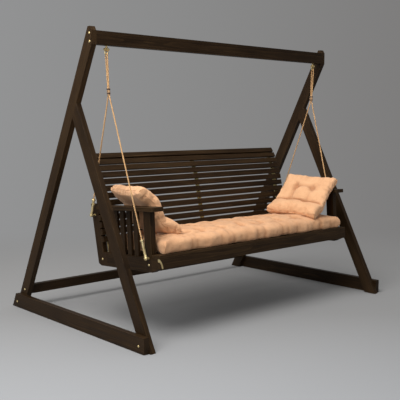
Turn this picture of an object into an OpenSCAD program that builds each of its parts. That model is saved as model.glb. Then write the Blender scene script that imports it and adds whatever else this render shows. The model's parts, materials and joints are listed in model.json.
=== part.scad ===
// Garden swing: a leaning A-frame stand and a hanging slatted bench with arms.
// Millimetres, +Z up. The origin is on the floor, at the middle of the stand's
// footprint. The bench faces -Y.

/* [Stand] */
// Distance between the hanging eyes and the inner faces of the legs
leg_gap = 93; // [60:1:160]
// Depth of the stand along the floor
stand_d = 1698; // [1600:2:1800]
// Thickness of the legs, side to side
leg_t = 40; // [34:1:48]
// Depth of the legs, square to their slope
leg_d = 90; // [76:1:100]
// Lean of the front struts from plumb
strut_lean = 27.05; // [25:0.05:29]
// Rise of the post tops above the top beam
cap_rise = 26; // [10:1:40]
// Run of the slope that ends each post top
cap_run = 15.5; // [8:0.5:24]

/* [Ground rails] */
// Thickness of the ground rails
ground_t = 40; // [30:1:50]
// Height of the ground rails
ground_h = 105; // [90:1:120]
// Set-back of a ground rail's front end from the strut's toe
ground_setback = 18; // [6:1:30]

/* [Beam and stretcher] */
// Distance of the beam's middle from the middle of the footprint
beam_y = -232; // [-260:1:-200]
// Height of the beam's underside above the floor
beam_z = 1925; // [1850:5:2000]
// Thickness of the beam, front to back
beam_t = 45; // [38:1:52]
// Height of the beam
beam_h = 91; // [80:1:110]
// Height of the rear stretcher's middle above the floor
stretcher_z = 141; // [135:1:200]
// Thickness of the rear stretcher, front to back
stretcher_t = 45; // [35:1:50]
// Height of the rear stretcher
stretcher_h = 70; // [50:1:70]

/* [Bolts] */
// Diameter of the bolt shanks
bolt_d = 8; // [6:1:10]
// Diameter of the domed bolt heads
head_d = 17; // [14:1:20]
// Height of the domed bolt heads
head_h = 4; // [3:0.5:6]
// Clearance round a bolt shank
bolt_fit = 0.1; // [0.05:0.05:0.3]
// Reach of a leg bolt into the second piece
bolt_bite = 30; // [20:1:34]
// Reach of a beam or stretcher bolt into end grain
end_bite = 60; // [40:1:80]
// Distance between the two bolts at each end of the beam
beam_bolt_pitch = 54; // [40:1:60]
// Height of the ground rail bolts above the floor
rail_bolt_z = 45; // [30:1:60]

/* [Eyes and shackles] */
// Distance of the hanging eyes outside the bench's sides
eye_out = 87; // [50:1:120]
// Drop of the eyes' middle below the beam
eye_drop = 25; // [24:1:32]
// Outer diameter of an eye
eye_d = 30; // [26:1:32]
// Thickness of an eye
eye_t = 10; // [8:1:11]
// Diameter of the eye's neck
neck_d = 12; // [10:1:14]
// Diameter of the flange under the beam
flange_d = 24; // [18:1:28]
// Thickness of the flange
flange_t = 3; // [2:0.5:5]
// Reach of the eye's screw into the beam
eye_bite = 60; // [40:1:70]
// Diameter of the shackle pin
pin_d = 10; // [8:1:11]
// Running clearance round the shackle pin in the eye
pin_fit = 0.06; // [0.03:0.01:0.1]
// Diameter of the shackle's rod
shackle_d = 9; // [7:1:10]
// Distance of each shackle arm from the middle of the eye
shackle_half = 11; // [10.5:0.5:13]
// Drop of the bottom of the shackle's bow below the pin
shackle_drop = 34; // [34:1:42]

/* [Ropes] */
// Diameter of the rope
rope_d = 10; // [8:1:10]
// Clearance between the rope and what it lies in
rope_fit = 0.15; // [0.1:0.05:0.3]
// Length of rope from the shackle bow to the top of the whipping
loop_l = 217; // [150:1:280]
// Length of the whipping
whip_l = 46; // [30:1:70]
// Thickness of the whipping
whip_t = 3; // [2:0.5:4]
// Half distance between the two strands in the whipping
strand_half = 5.4; // [5.2:0.1:6]
// Height of each band on the whipping
band_h = 9; // [6:1:12]
// Thickness of each band
band_t = 1.2; // [0.8:0.2:2]
// Distance of the bands from the whipping's ends
band_inset = 5; // [3:1:8]

/* [Rope ends] */
// Length of a brass rope end, from its stud to its collar
ferrule_l = 126; // [100:1:150]
// Diameter of the ferrule's tube
ferrule_d = 18; // [15:1:20]
// Diameter of the ferrule's round end
bulb_d = 27; // [22:1:30]
// Diameter of the ferrule's collar
collar_d = 28; // [22:1:32]
// Height of the ferrule's collar
collar_h = 11; // [8:1:16]
// Diameter of the studs that hold the ferrules
stud_d = 8; // [6:1:10]
// Distance of a front ferrule's middle from the bench's side
stud_reach = 20.5; // [18:0.5:30]
// Reach of a stud into the timber
stud_bite = 17; // [12:1:18]
// Height of the front studs below the seat boards' underside
front_stud_drop = 2; // [0:1:30]
// Height of the rear studs below the arm
rear_stud_drop = 39; // [25:1:80]
// Distance of the clamp screw below the collar's top
clamp_drop = 36; // [25:1:50]
// Diameter of the clamp screw's head
clamp_d = 11; // [8:1:13]
// Height of the clamp screw's head
clamp_h = 7; // [5:1:10]

/* [Bench] */
// Width of the bench over its side frames
bench_w = 1960; // [1900:10:2000]
// Thickness of the side frames
side_t = 40; // [34:1:44]
// Backward tilt of the hanging bench
bench_tilt = 3.5; // [2:0.1:5]
// Drop of the seat boards' top below the hanging axis
seat_drop = 1361; // [1320:1:1380]
// Height of the side rails
rail_h = 95; // [85:1:110]
// Height of the apron, bearer and rear rail
apron_h = 68; // [60:1:80]
// Thickness of the apron
apron_t = 20; // [16:1:26]
// Distance of the front stile's face ahead of the hanging axis
stile_y = 270; // [250:1:280]
// Depth of the front stiles
stile_d = 70; // [60:1:80]
// Overhang of the seat ahead of the front stiles
seat_nose = 82; // [78:1:100]
// Height of the arms' top above the seat boards
arm_h = 312; // [280:1:330]
// Thickness of the arms
arm_t = 28; // [22:1:34]
// Overhang of the arms inside the bench
arm_in = 32; // [20:1:40]
// Overhang of the arms outside the bench
arm_out = 26; // [15:1:28]
// Overhang of the arms ahead of the stiles
arm_nose = 63; // [40:1:80]
// Radius of the arms' front corners
arm_r = 12; // [5:1:25]
// Clearance of the arms' rear ends from the back boards
arm_gap = 0.3; // [0.2:0.1:1]

/* [Seat boards] */
// Number of seat boards
seat_n = 7; // [7:1:7]
// Width of a seat board
seat_board_w = 78; // [70:1:78]
// Thickness of the seat and back boards
board_t = 22; // [18:1:26]
// Gap between seat boards
seat_gap = 10; // [6:1:10]
// Clearance of the seat boards' ends from the side frames
board_gap = 0.5; // [0.2:0.1:2]
// Width of the cleats that carry the seat boards' ends
cleat_t = 25; // [18:1:32]
// Height of the cleats
cleat_h = 30; // [20:1:40]
// Thickness of the rear seat rail
rear_rail_t = 40; // [30:1:45]
// Thickness of the centre bearer
centre_t = 40; // [30:1:50]

/* [Back] */
// Distance of the back boards' face behind the hanging axis, at the seat
back_y = 267.6; // [262:0.1:280]
// Lean of the straight part of the back
back_lean = 8.5; // [6:0.5:12]
// Length of the straight part of the back
back_straight = 431.7; // [400:0.1:450]
// Radius of the rolled top of the back
roll_r = 620; // [560:5:700]
// Turn of the rolled top of the back
roll_angle = 25.9; // [20:0.1:28]
// Number of back boards
back_n = 13; // [11:1:13]
// Width of a back board
back_board_w = 41; // [36:1:42]
// Gap between back boards
back_gap = 10.5; // [8:0.5:12]
// Depth of the rear stiles
rear_stile_d = 75; // [65:1:85]
// Rise of the rear stiles above the arms
rear_stile_rise = 12; // [6:1:40]
// Length of the heel ahead of each rear stile's foot
heel_l = 26; // [22:1:36]
// Size of the clipped corner behind each heel
heel_clip = 30; // [15:1:40]
// Height of the top back rails
top_rail_h = 60; // [40:1:60]
// Thickness of the top back rails
top_rail_t = 20; // [16:1:26]
// Width of the straps behind the back boards
back_strap_w = 40; // [30:1:50]
// Thickness of the straps behind the back boards
back_strap_t = 5; // [4:0.5:6]
// Distance of the outer back straps from the side frames
back_strap_in = 4; // [2:0.5:10]

/* [Spindles] */
// Number of spindles in each side
spindle_n = 5; // [5:1:5]
// Width of a spindle
spindle_w = 45; // [35:1:50]
// Thickness of a spindle
spindle_t = 20; // [16:1:24]
// Distance between the spindles' middles
spindle_pitch = 75.75; // [70:0.25:76]
// Distance of the first spindle's middle behind the stile
spindle_y = 110; // [95:1:112]
// Distance of the spindles' outer faces from the bench's side
spindle_inset = 12; // [8:1:14]
// Length of the spindle tenons
tenon_l = 12; // [8:1:16]
// Shoulder of the tenons on every side
tenon_in = 6; // [4:1:7]
// Clearance round a tenon
tenon_fit = 0.2; // [0.1:0.05:0.4]

/* [Corner strap] */
// Width of the strap
strap_w = 12; // [8:1:16]
// Thickness of the strap
strap_t = 1.8; // [1.2:0.2:3]
// Radius of the strap's bow
strap_r = 95; // [80:1:140]
// Reach of the strap along the front
strap_front = 32; // [20:1:40]
// Reach of the strap along the side
strap_side = 16; // [10:1:24]

/* [Cushions] */
// Clearance of the seat cushion's ends from the side frames
cushion_gap = 11; // [5:1:30]
// Thickness of the seat cushion at its shoulders
cushion_t = 100; // [80:1:120]
// Crown of the seat cushion
cushion_crown = 14; // [6:1:24]
// Reach of the seat cushion's rounded edges
cushion_r = 34; // [24:1:50]
// Squareness of the seat cushion's edges
cushion_square = 3.5; // [2:0.1:5]
// Distance between the tufts of the seat cushion
tuft_pitch = 205; // [180:1:220]
// Depth of the tufts in the seat cushion
tuft_dip = 20; // [10:1:30]
// How far the seat cushion's sides are drawn in
cushion_draw = 8; // [3:1:14]
// Clearance of a cushion from what it lies on
soft_gap = 0.4; // [0.3:0.1:1]
// Side of a square pillow
pillow_w = 450; // [400:5:460]
// Thickness of a pillow ahead of its seam
pillow_front = 40; // [30:1:60]
// Thickness of a pillow behind its seam
pillow_back = 30; // [20:1:50]
// Extra thickness in the middle of a pillow, on each side
pillow_crown = 12; // [4:1:20]
// Reach of a pillow's rounded edges
pillow_r = 55; // [40:1:70]
// Squareness of a pillow's edges
pillow_square = 2.4; // [2:0.1:4]
// How far a pillow's sides are drawn in
pillow_draw = 8; // [4:1:20]
// Depth of the tufts in a pillow
pillow_dip = 24; // [12:1:30]
// Distance of the left pillow's middle from the side frame
left_pillow_in = 128.7; // [100:0.1:260]
// Distance of the left pillow's middle behind the front stiles' back
left_pillow_back = 198.1; // [60:0.1:260]
// Drop of the left pillow's middle below the arm's top
left_pillow_drop = 51.5; // [30:0.1:80]
// Distance of the right pillow's middle from the side frame
right_pillow_in = 187.2; // [100:0.1:260]
// Distance of the right pillow's middle behind the front stiles' back
right_pillow_back = 96.9; // [60:0.1:260]
// Drop of the right pillow's middle below the arm's top
right_pillow_drop = 59.2; // [30:0.1:80]

/* [Hidden] */
$fn = 48;

// ---- colours ----

timber = [0.22, 0.16, 0.11];
brass = [0.86, 0.78, 0.55];
hemp = [0.78, 0.58, 0.36];
cord_brown = [0.25, 0.13, 0.07];
cloth = [0.88, 0.68, 0.50];

// ---- stand, worked out ----

eye_span = bench_w + 2 * eye_out;
stand_w = eye_span + 2 * (leg_gap + leg_t);
post_face_y = beam_y - beam_t / 2;
post_run = stand_d / 2 - post_face_y;
post_lean = acos(leg_d / norm([post_run, beam_z])) - atan2(beam_z, post_run);
post_w = leg_d / cos(post_lean);
strut_w = leg_d / cos(strut_lean);
beam_top = beam_z + beam_h;
post_top = beam_top + cap_rise;
leg_x = stand_w / 2 - leg_t;
hinge_z = beam_z - eye_drop;

function post_front(z) = post_face_y + (beam_z - z) * tan(post_lean);
function post_mid(z) = post_front(z) + post_w / 2;
function strut_front(z) = -stand_d / 2 + z * tan(strut_lean);
function strut_mid(z) = strut_front(z) + strut_w / 2;

// Height at which a line parallel to the strut, shift behind its front edge, meets the post
function meet_z(shift) =
    (post_front(0) + stand_d / 2 - shift) / (tan(post_lean) + tan(strut_lean));

// ---- bench, worked out: local frame at the hanging axis, before the tilt ----

side_x = bench_w / 2 - side_t;
lap_x = bench_w / 2 - side_t / 2;
seat_z = -seat_drop;
rail_top = seat_z - board_t;
rail_bottom = rail_top - rail_h;
apron_bottom = rail_top - apron_h;
nose_y = -stile_y - seat_nose;
apron_back = nose_y + apron_t;
stile_back = -stile_y + stile_d;
arm_top = seat_z + arm_h;
arm_bottom = arm_top - arm_t;
seat_back = nose_y + seat_n * seat_board_w + (seat_n - 1) * seat_gap;
rear_rail_y = seat_back - rear_rail_t;

// Straight edge of the back, off behind the face of the back boards
function back_edge(z, off) = back_y + (z - seat_z) * tan(back_lean) + off / cos(back_lean);
heel_y = back_edge(rail_bottom, board_t) - heel_l;
rear_off = board_t + rear_stile_d;
rear_stile_top = arm_top + rear_stile_rise;

back_pitch = back_board_w + back_gap;

// Point and lean of the back boards' face, s along it from the seat boards' top
back_bend = [back_y + back_straight * sin(back_lean), seat_z + back_straight * cos(back_lean)];
roll_mid = back_bend + roll_r * [cos(back_lean), -sin(back_lean)];
back_len = back_straight + roll_r * roll_angle * PI / 180;
function face_lean(s) = back_lean + max(0, s - back_straight) / roll_r * 180 / PI;
function face_pt(s) = s <= back_straight
    ? [back_y + s * sin(back_lean), seat_z + s * cos(back_lean)]
    : roll_mid - roll_r * [cos(face_lean(s)), -sin(face_lean(s))];

// ---- ropes, worked out ----

front_stud = [-stile_y + stile_d / 2, rail_top - front_stud_drop];
rear_stud_z = arm_bottom - rear_stud_drop;
rear_stud = [back_edge(rear_stud_z, board_t + rear_stile_d / 2), rear_stud_z];

// From the bench's own frame to the frame of the hanging axis
function hung(p) = [
    p[0] * cos(bench_tilt) + p[1] * sin(bench_tilt),
    p[1] * cos(bench_tilt) - p[0] * sin(bench_tilt)
];
front_end = hung(front_stud);
rear_end = hung(rear_stud);
front_drop = -shackle_drop - front_end[1];
rear_drop = -shackle_drop - rear_end[1];
rope_lean = atan2(eye_span / 2 - bench_w / 2 - stud_reach, front_drop);

// Rope frame: X across, Z up along the leaning plane, origin in the shackle's bow
function in_plane(p, drop) = [p[0], -drop / cos(rope_lean)];
front_hook = in_plane(front_end, front_drop);
rear_hook = in_plane(rear_end, rear_drop);
rope_r = rope_d / 2;
bow_r = shackle_d / 2 + rope_r + rope_fit;
fork_z = -loop_l - whip_l - 3;
whip_r = rope_r + rope_fit + whip_t;

function unit(v) = v / norm(v);
function ferrule_dir(hook, side) = unit([side * strand_half, fork_z] - hook);

// ---- small helpers ----

module both() {
    children();
    mirror([1, 0, 0])
        children();
}

// A profile in Y and Z, run along X from x0 for t
module slab(x0, t, pts) {
    translate([x0, 0, 0])
        rotate([90, 0, 90])
            linear_extrude(height = t)
                polygon(pts);
}

module x_rod(x0, x1, y, z, d) {
    translate([x0, y, z])
        rotate([0, 90, 0])
            cylinder(d = d, h = x1 - x0);
}

// A bolt whose head sits on a face at x, with its shank running back towards the middle
module dome_bolt(x, y, z, reach) {
    cap_r = (head_d * head_d / 4 + head_h * head_h) / (2 * head_h);
    translate([x - reach, y, z])
        rotate([0, 90, 0])
            rotate_extrude()
                union() {
                    square([bolt_d / 2, reach + 1]);
                    intersection() {
                        translate([0, reach + head_h - cap_r])
                            circle(r = cap_r);
                        translate([0, reach])
                            square([head_d / 2, head_h]);
                    }
                }
}

module bolt_hole(x, y, z, reach) {
    x_rod(x - reach - 0.5, x + 1, y, z, bolt_d + 2 * bolt_fit);
}

// ---- stand ----

beam_bolt_zs = [for (k = [-1, 1]) beam_z + beam_h / 2 + k * beam_bolt_pitch / 2];
beam_bolt_l = leg_t + end_bite;
stretcher_y = post_mid(stretcher_z);
rail_bolt_l = ground_t + bolt_bite;

module beam_holes() {
    for (z = beam_bolt_zs)
        bolt_hole(stand_w / 2, beam_y, z, beam_bolt_l);
}

module stretcher_hole() {
    bolt_hole(stand_w / 2, stretcher_y, stretcher_z, beam_bolt_l);
}

module rail_holes() {
    for (y = [post_mid(rail_bolt_z), strut_mid(rail_bolt_z)])
        bolt_hole(stand_w / 2 + ground_t, y, rail_bolt_z, rail_bolt_l);
}

module post() {
    difference() {
        slab(leg_x, leg_t, [
            [post_front(0), 0],
            [post_front(0) + post_w, 0],
            [post_front(post_top) + post_w, post_top],
            [post_face_y + cap_run, post_top],
            [post_face_y, beam_top],
            [post_face_y, beam_z]
        ]);
        beam_holes();
        stretcher_hole();
        rail_holes();
    }
}

module strut() {
    difference() {
        slab(leg_x, leg_t, [
            [strut_front(0), 0],
            [strut_front(0) + strut_w, 0],
            [post_front(meet_z(strut_w)), meet_z(strut_w)],
            [post_front(meet_z(0)), meet_z(0)]
        ]);
        rail_holes();
    }
}

module ground_rail() {
    difference() {
        slab(stand_w / 2, ground_t, [
            [strut_front(0) + ground_setback, 0],
            [post_front(0) + post_w, 0],
            [post_front(ground_h) + post_w, ground_h],
            [strut_front(0) + ground_setback, ground_h]
        ]);
        rail_holes();
    }
}

module right_post() {
    color(timber)
        post();
}

module left_post() {
    color(timber)
        mirror([1, 0, 0])
            post();
}

module right_strut() {
    color(timber)
        strut();
}

module left_strut() {
    color(timber)
        mirror([1, 0, 0])
            strut();
}

module right_ground_rail() {
    color(timber)
        ground_rail();
}

module left_ground_rail() {
    color(timber)
        mirror([1, 0, 0])
            ground_rail();
}

module top_beam() {
    color(timber)
        difference() {
            translate([-leg_x, beam_y - beam_t / 2, beam_z])
                cube([2 * leg_x, beam_t, beam_h]);
            both() {
                beam_holes();
                translate([eye_span / 2, beam_y, beam_z - 1])
                    cylinder(d = pin_d + 2 * bolt_fit, h = eye_bite + 1.5);
            }
        }
}

module rear_stretcher() {
    color(timber)
        difference() {
            translate([-leg_x, stretcher_y - stretcher_t / 2, stretcher_z - stretcher_h / 2])
                cube([2 * leg_x, stretcher_t, stretcher_h]);
            both()
                stretcher_hole();
        }
}

module beam_bolts() {
    color(brass)
        both()
            for (z = beam_bolt_zs)
                dome_bolt(stand_w / 2, beam_y, z, beam_bolt_l);
}

module stretcher_bolts() {
    color(brass)
        both()
            dome_bolt(stand_w / 2, stretcher_y, stretcher_z, beam_bolt_l);
}

module rail_bolts() {
    color(brass)
        both()
            for (y = [post_mid(rail_bolt_z), strut_mid(rail_bolt_z)])
                dome_bolt(stand_w / 2 + ground_t, y, rail_bolt_z, rail_bolt_l);
}

module eye_screws() {
    color(brass)
        both()
            translate([eye_span / 2, beam_y, hinge_z])
                difference() {
                    union() {
                        x_rod(-eye_t / 2, eye_t / 2, 0, 0, eye_d);
                        cylinder(d = neck_d, h = eye_drop);
                        translate([0, 0, eye_drop - flange_t])
                            cylinder(d = flange_d, h = flange_t);
                        translate([0, 0, eye_drop - 1])
                            cylinder(d = pin_d, h = eye_bite + 1);
                    }
                    x_rod(-flange_d, flange_d, 0, 0, pin_d + 2 * pin_fit);
                }
}

// ---- shackles and ropes ----

module at_eye() {
    translate([eye_span / 2, beam_y, hinge_z])
        children();
}

module in_rope_plane() {
    translate([eye_span / 2, beam_y, hinge_z - shackle_drop])
        rotate([0, rope_lean, 0])
            children();
}

arm_l = shackle_drop - shackle_half;
ear_d = pin_d + shackle_d;

module shackle() {
    difference() {
        union() {
            translate([0, 0, -arm_l])
                rotate([-90, 0, 0])
                    rotate_extrude(angle = 180)
                        translate([shackle_half, 0])
                            circle(d = shackle_d);
            for (k = [-1, 1]) {
                translate([k * shackle_half, 0, -arm_l])
                    cylinder(d = shackle_d, h = arm_l);
                translate([k * shackle_half - shackle_d / 2, 0, 0])
                    x_rod(0, shackle_d, 0, 0, ear_d);
            }
        }
        x_rod(-2 * shackle_half, 2 * shackle_half, 0, 0, pin_d + 2 * pin_fit);
    }
}

module shackle_pin() {
    out = shackle_half + shackle_d / 2;
    x_rod(-out - 5, out + 1, 0, 0, pin_d);
    x_rod(out, out + 4, 0, 0, pin_d + 6);
    translate([-out - 4, 0, 0])
        rotate([0, 90, 0])
            cylinder(d = pin_d + 7, h = 4, $fn = 6);
}

module shackles() {
    color(brass)
        both()
            at_eye()
                shackle();
}

module shackle_pins() {
    color(brass)
        both()
            at_eye()
                shackle_pin();
}

// One rope: up from the front end, through the whipping, over the bow and down to the rear end
bow_turn = atan2(bow_r - strand_half, loop_l);
rope_route = concat(
    [front_hook + ferrule_dir(front_hook, -1) * (bulb_d / 2 + 6)],
    [[-strand_half, fork_z], [-strand_half, -loop_l + 2]],
    [for (a = [-bow_turn : (180 + 2 * bow_turn) / 10 : 180 + bow_turn + 0.01])
        bow_r * [-cos(a), sin(a)]],
    [[strand_half, -loop_l + 2], [strand_half, fork_z]],
    [rear_hook + ferrule_dir(rear_hook, 1) * (bulb_d / 2 + 6)]
);
rope_sides = 12;

function route_dir(i) =
    let (n = len(rope_route))
    i == 0 ? unit(rope_route[1] - rope_route[0])
    : i == n - 1 ? unit(rope_route[n - 1] - rope_route[n - 2])
    : unit(unit(rope_route[i] - rope_route[i - 1]) + unit(rope_route[i + 1] - rope_route[i]));

function rope_ring(i) =
    let (d = route_dir(i))
    [for (k = [0 : rope_sides - 1])
        let (a = 360 * k / rope_sides)
        [rope_r * cos(a),
         rope_route[i][0] - rope_r * sin(a) * d[1],
         rope_route[i][1] + rope_r * sin(a) * d[0]]];

module rope() {
    n = len(rope_route);
    m = rope_sides;
    pts = [for (i = [0 : n - 1]) for (p = rope_ring(i)) p];
    walls = [for (i = [0 : n - 2]) for (k = [0 : m - 1])
        let (a = i * m + k, b = i * m + (k + 1) % m)
        each [[a, b, b + m], [a, b + m, a + m]]];
    caps = [for (k = [1 : m - 2])
        each [[0, k + 1, k], [(n - 1) * m, (n - 1) * m + k, (n - 1) * m + k + 1]]];
    polyhedron(points = pts, faces = concat(walls, caps));
}

module right_rope() {
    color(hemp)
        in_rope_plane()
            rope();
}

module left_rope() {
    color(hemp)
        mirror([1, 0, 0])
            in_rope_plane()
                rope();
}

// Two strands side by side, with r round each
module twin(r) {
    square([2 * r, 2 * strand_half], center = true);
    for (k = [-1, 1])
        translate([0, k * strand_half])
            circle(r = r);
}

module whip_ring(z, h, r_in, r_out) {
    translate([0, 0, z])
        linear_extrude(height = h)
            difference() {
                twin(r_out);
                twin(r_in);
            }
}

module whippings() {
    color(hemp)
        both()
            in_rope_plane()
                whip_ring(-loop_l - whip_l, whip_l, rope_r + rope_fit, whip_r);
}

module whipping_bands() {
    color(cord_brown)
        both()
            in_rope_plane()
                for (z = [-loop_l - band_inset - band_h, -loop_l - whip_l + band_inset])
                    whip_ring(z, band_h, whip_r, whip_r + band_t);
}

// ---- rope ends ----

module along_rope(hook, side) {
    d = ferrule_dir(hook, side);
    in_rope_plane()
        translate([0, hook[0], hook[1]])
            rotate([-atan2(d[0], d[1]), 0, 0])
                children();
}

module ferrule() {
    bore = rope_d / 2 + rope_fit;
    top = ferrule_l;
    difference() {
        union() {
            sphere(d = bulb_d);
            rotate_extrude()
                polygon([
                    [0, 0],
                    [ferrule_d / 2 + 1.5, 0],
                    [ferrule_d / 2 + 1.5, bulb_d / 2 + 2],
                    [ferrule_d / 2, bulb_d / 2 + 6],
                    [ferrule_d / 2, top - collar_h - 3],
                    [collar_d / 2 - 2, top - collar_h],
                    [collar_d / 2, top - collar_h + 2.5],
                    [collar_d / 2, top - 2.5],
                    [collar_d / 2 - 2.5, top],
                    [0, top]
                ]);
        }
        translate([0, 0, bulb_d / 2 + 5])
            cylinder(r = bore, h = top);
    }
}

module front_ferrules() {
    color(brass)
        both()
            difference() {
                along_rope(front_hook, -1)
                    ferrule();
                stud_bore(front_end, front_drop);
            }
}

// The rear pair also takes the clamp screws, on the side towards the arm's middle
module rear_ferrules() {
    color(brass)
        both()
            difference() {
                along_rope(rear_hook, 1)
                    difference() {
                        ferrule();
                        clamp_hole();
                    }
                stud_bore(rear_end, rear_drop);
            }
}

function hook_x(drop) = eye_span / 2 - drop * tan(rope_lean);

// A blind hole in the ferrule's round end, from its inner side
module stud_bore(end, drop) {
    x_rod(side_x, hook_x(drop) + 4, beam_y + end[0], hinge_z + end[1], stud_d + 2 * bolt_fit);
}

module stud(end, drop) {
    face = bench_w / 2;
    x_rod(face - stud_bite, hook_x(drop) + 3.5, beam_y + end[0], hinge_z + end[1], stud_d);
    x_rod(face, face + 3, beam_y + end[0], hinge_z + end[1], stud_d + 10);
}

module ferrule_studs() {
    color(brass)
        both() {
            stud(front_end, front_drop);
            stud(rear_end, rear_drop);
        }
}

module clamp_hole() {
    translate([0, 0, ferrule_l - clamp_drop])
        rotate([90, 0, 0])
            cylinder(d = clamp_d / 2 + 2 * bolt_fit, h = ferrule_d);
}

module clamp_screw() {
    seat = ferrule_d / 2;
    translate([0, 0, ferrule_l - clamp_drop])
        rotate([90, 0, 0]) {
            translate([0, 0, rope_d / 2 + rope_fit + 0.1])
                cylinder(d = clamp_d / 2, h = seat + 2 - rope_d / 2);
            translate([0, 0, seat])
                rotate_extrude()
                    polygon([
                        [0, 0],
                        [clamp_d / 2, 0],
                        [clamp_d / 2, clamp_h - 2],
                        [clamp_d / 2 - 2, clamp_h],
                        [0, clamp_h]
                    ]);
        }
}

module clamp_screws() {
    color(brass)
        both()
            along_rope(rear_hook, 1)
                clamp_screw();
}

// ---- bench frame ----

module on_bench() {
    translate([0, beam_y, hinge_z])
        rotate([-bench_tilt, 0, 0])
            children();
}

frame_bolt_z = (rail_top + rail_bottom) / 2;
frame_bolt_l = side_t - 3;
frame_bolt_ys = [front_stud[0], (heel_y + back_edge(frame_bolt_z, rear_off)) / 2];

module frame_holes() {
    for (y = frame_bolt_ys)
        bolt_hole(bench_w / 2, y, frame_bolt_z, frame_bolt_l);
}

module bench_stud_hole(p) {
    x_rod(bench_w / 2 - stud_bite - 0.5, bench_w / 2 + 1, p[0], p[1], stud_d + 2 * bolt_fit);
}

// Lean of each back board that lies on the roll, from the lowest up
board_leans = [for (i = [back_n - 1 : -1 : 0])
    let (s = back_len - back_board_w / 2 - i * back_pitch)
    if (s > back_straight) face_lean(s)];
top_lean = board_leans[len(board_leans) - 1];
function lean_out(a) = [cos(a), -sin(a)];
function lean_up(a) = [sin(a), cos(a)];

// Line of a strap on the roll, off behind the boards' face: one flat behind each board
function flat_line(off) = [for (i = [0 : len(board_leans) - 1])
    let (a = i == 0 ? back_lean : board_leans[i - 1], b = board_leans[i])
    roll_mid - (roll_r - off) / cos((b - a) / 2) * lean_out((a + b) / 2)];
function flat_tip(off) =
    roll_mid - (roll_r - off) * lean_out(top_lean) + back_board_w / 2 * lean_up(top_lean);

// A strap behind the boards, from the rear rail's foot up round the roll
module back_strap(x0) {
    near = flat_line(board_t);
    far = flat_line(board_t + back_strap_t);
    slab(x0, back_strap_w, concat(
        [[back_edge(apron_bottom, board_t), apron_bottom]],
        [[back_edge(apron_bottom, board_t + back_strap_t), apron_bottom]],
        far,
        [flat_tip(board_t + back_strap_t), flat_tip(board_t)],
        [for (i = [len(near) - 1 : -1 : 0]) near[i]]
    ));
}

// A block that packs a strap's foot out from the rear rail
module strap_block(x0) {
    slab(x0, back_strap_w, [
        [seat_back, apron_bottom],
        [back_edge(apron_bottom, board_t), apron_bottom],
        [back_edge(rail_top, board_t), rail_top],
        [seat_back, rail_top]
    ]);
}

strap_x = side_x - back_strap_in - back_strap_w;
strap_xs = [-strap_x - back_strap_w, -back_strap_w / 2, strap_x];

module rear_stile() {
    difference() {
        slab(side_x, side_t, [
            [heel_y, rail_bottom],
            [back_edge(rail_bottom, rear_off) - heel_clip, rail_bottom],
            [back_edge(rail_bottom + heel_clip / 2, rear_off), rail_bottom + heel_clip / 2],
            [back_edge(rear_stile_top, rear_off), rear_stile_top],
            [back_edge(rear_stile_top, board_t), rear_stile_top],
            [back_edge(rail_top, board_t), rail_top],
            [heel_y, rail_top]
        ]);
        translate([side_x - 1, heel_y - 1, rail_bottom - 1])
            cube([side_t / 2 + 1, 2 * rear_stile_d + heel_l, rail_h + 1]);
        frame_holes();
        bench_stud_hole(rear_stud);
    }
}

module front_stile() {
    difference() {
        union() {
            translate([side_x, -stile_y, rail_bottom])
                cube([side_t, stile_d, arm_bottom - rail_bottom]);
            tenon(lap_x, -stile_y + stile_d / 2, side_t, stile_d, arm_bottom - 1, 0);
        }
        translate([side_x - 1, -stile_y - 1, rail_bottom - 1])
            cube([side_t / 2 + 1, stile_d + 2, rail_h + 1]);
        frame_holes();
        bench_stud_hole(front_stud);
    }
}

// A tenon with a shoulder all round, from z up; grow is the clearance of its mortise
module tenon(x, y, t, w, z, grow) {
    a = t - 2 * tenon_in + 2 * grow;
    b = w - 2 * tenon_in + 2 * grow;
    translate([x - a / 2, y - b / 2, z])
        cube([a, b, tenon_l + 1 + (grow > 0 ? 0.5 : 0)]);
}

spindle_x = bench_w / 2 - spindle_inset - spindle_t / 2;
spindle_ys = [for (i = [0 : spindle_n - 1]) stile_back + spindle_y + i * spindle_pitch];

module side_rail() {
    difference() {
        slab(side_x, side_t, [
            [apron_back, apron_bottom],
            [-stile_y, rail_bottom],
            [back_edge(rail_bottom, rear_off) - heel_clip, rail_bottom],
            [back_edge(rail_bottom + heel_clip / 2, rear_off), rail_bottom + heel_clip / 2],
            [back_edge(rail_top, rear_off), rail_top],
            [apron_back, rail_top]
        ]);
        translate([lap_x, -stile_y, rail_bottom - 1])
            cube([side_t, stile_d, rail_h + 2]);
        translate([lap_x, heel_y, rail_bottom - 1])
            cube([side_t, 2 * rear_stile_d + heel_l, rail_h + 2]);
        for (y = spindle_ys)
            mirror([0, 0, 1])
                tenon(spindle_x, y, spindle_t, spindle_w, -rail_top - 1, tenon_fit);
        frame_holes();
    }
}

module spindles() {
    for (y = spindle_ys) {
        translate([spindle_x - spindle_t / 2, y - spindle_w / 2, rail_top])
            cube([spindle_t, spindle_w, arm_bottom - rail_top]);
        tenon(spindle_x, y, spindle_t, spindle_w, arm_bottom - 1, 0);
        mirror([0, 0, 1])
            tenon(spindle_x, y, spindle_t, spindle_w, -rail_top - 1, 0);
    }
}

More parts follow.
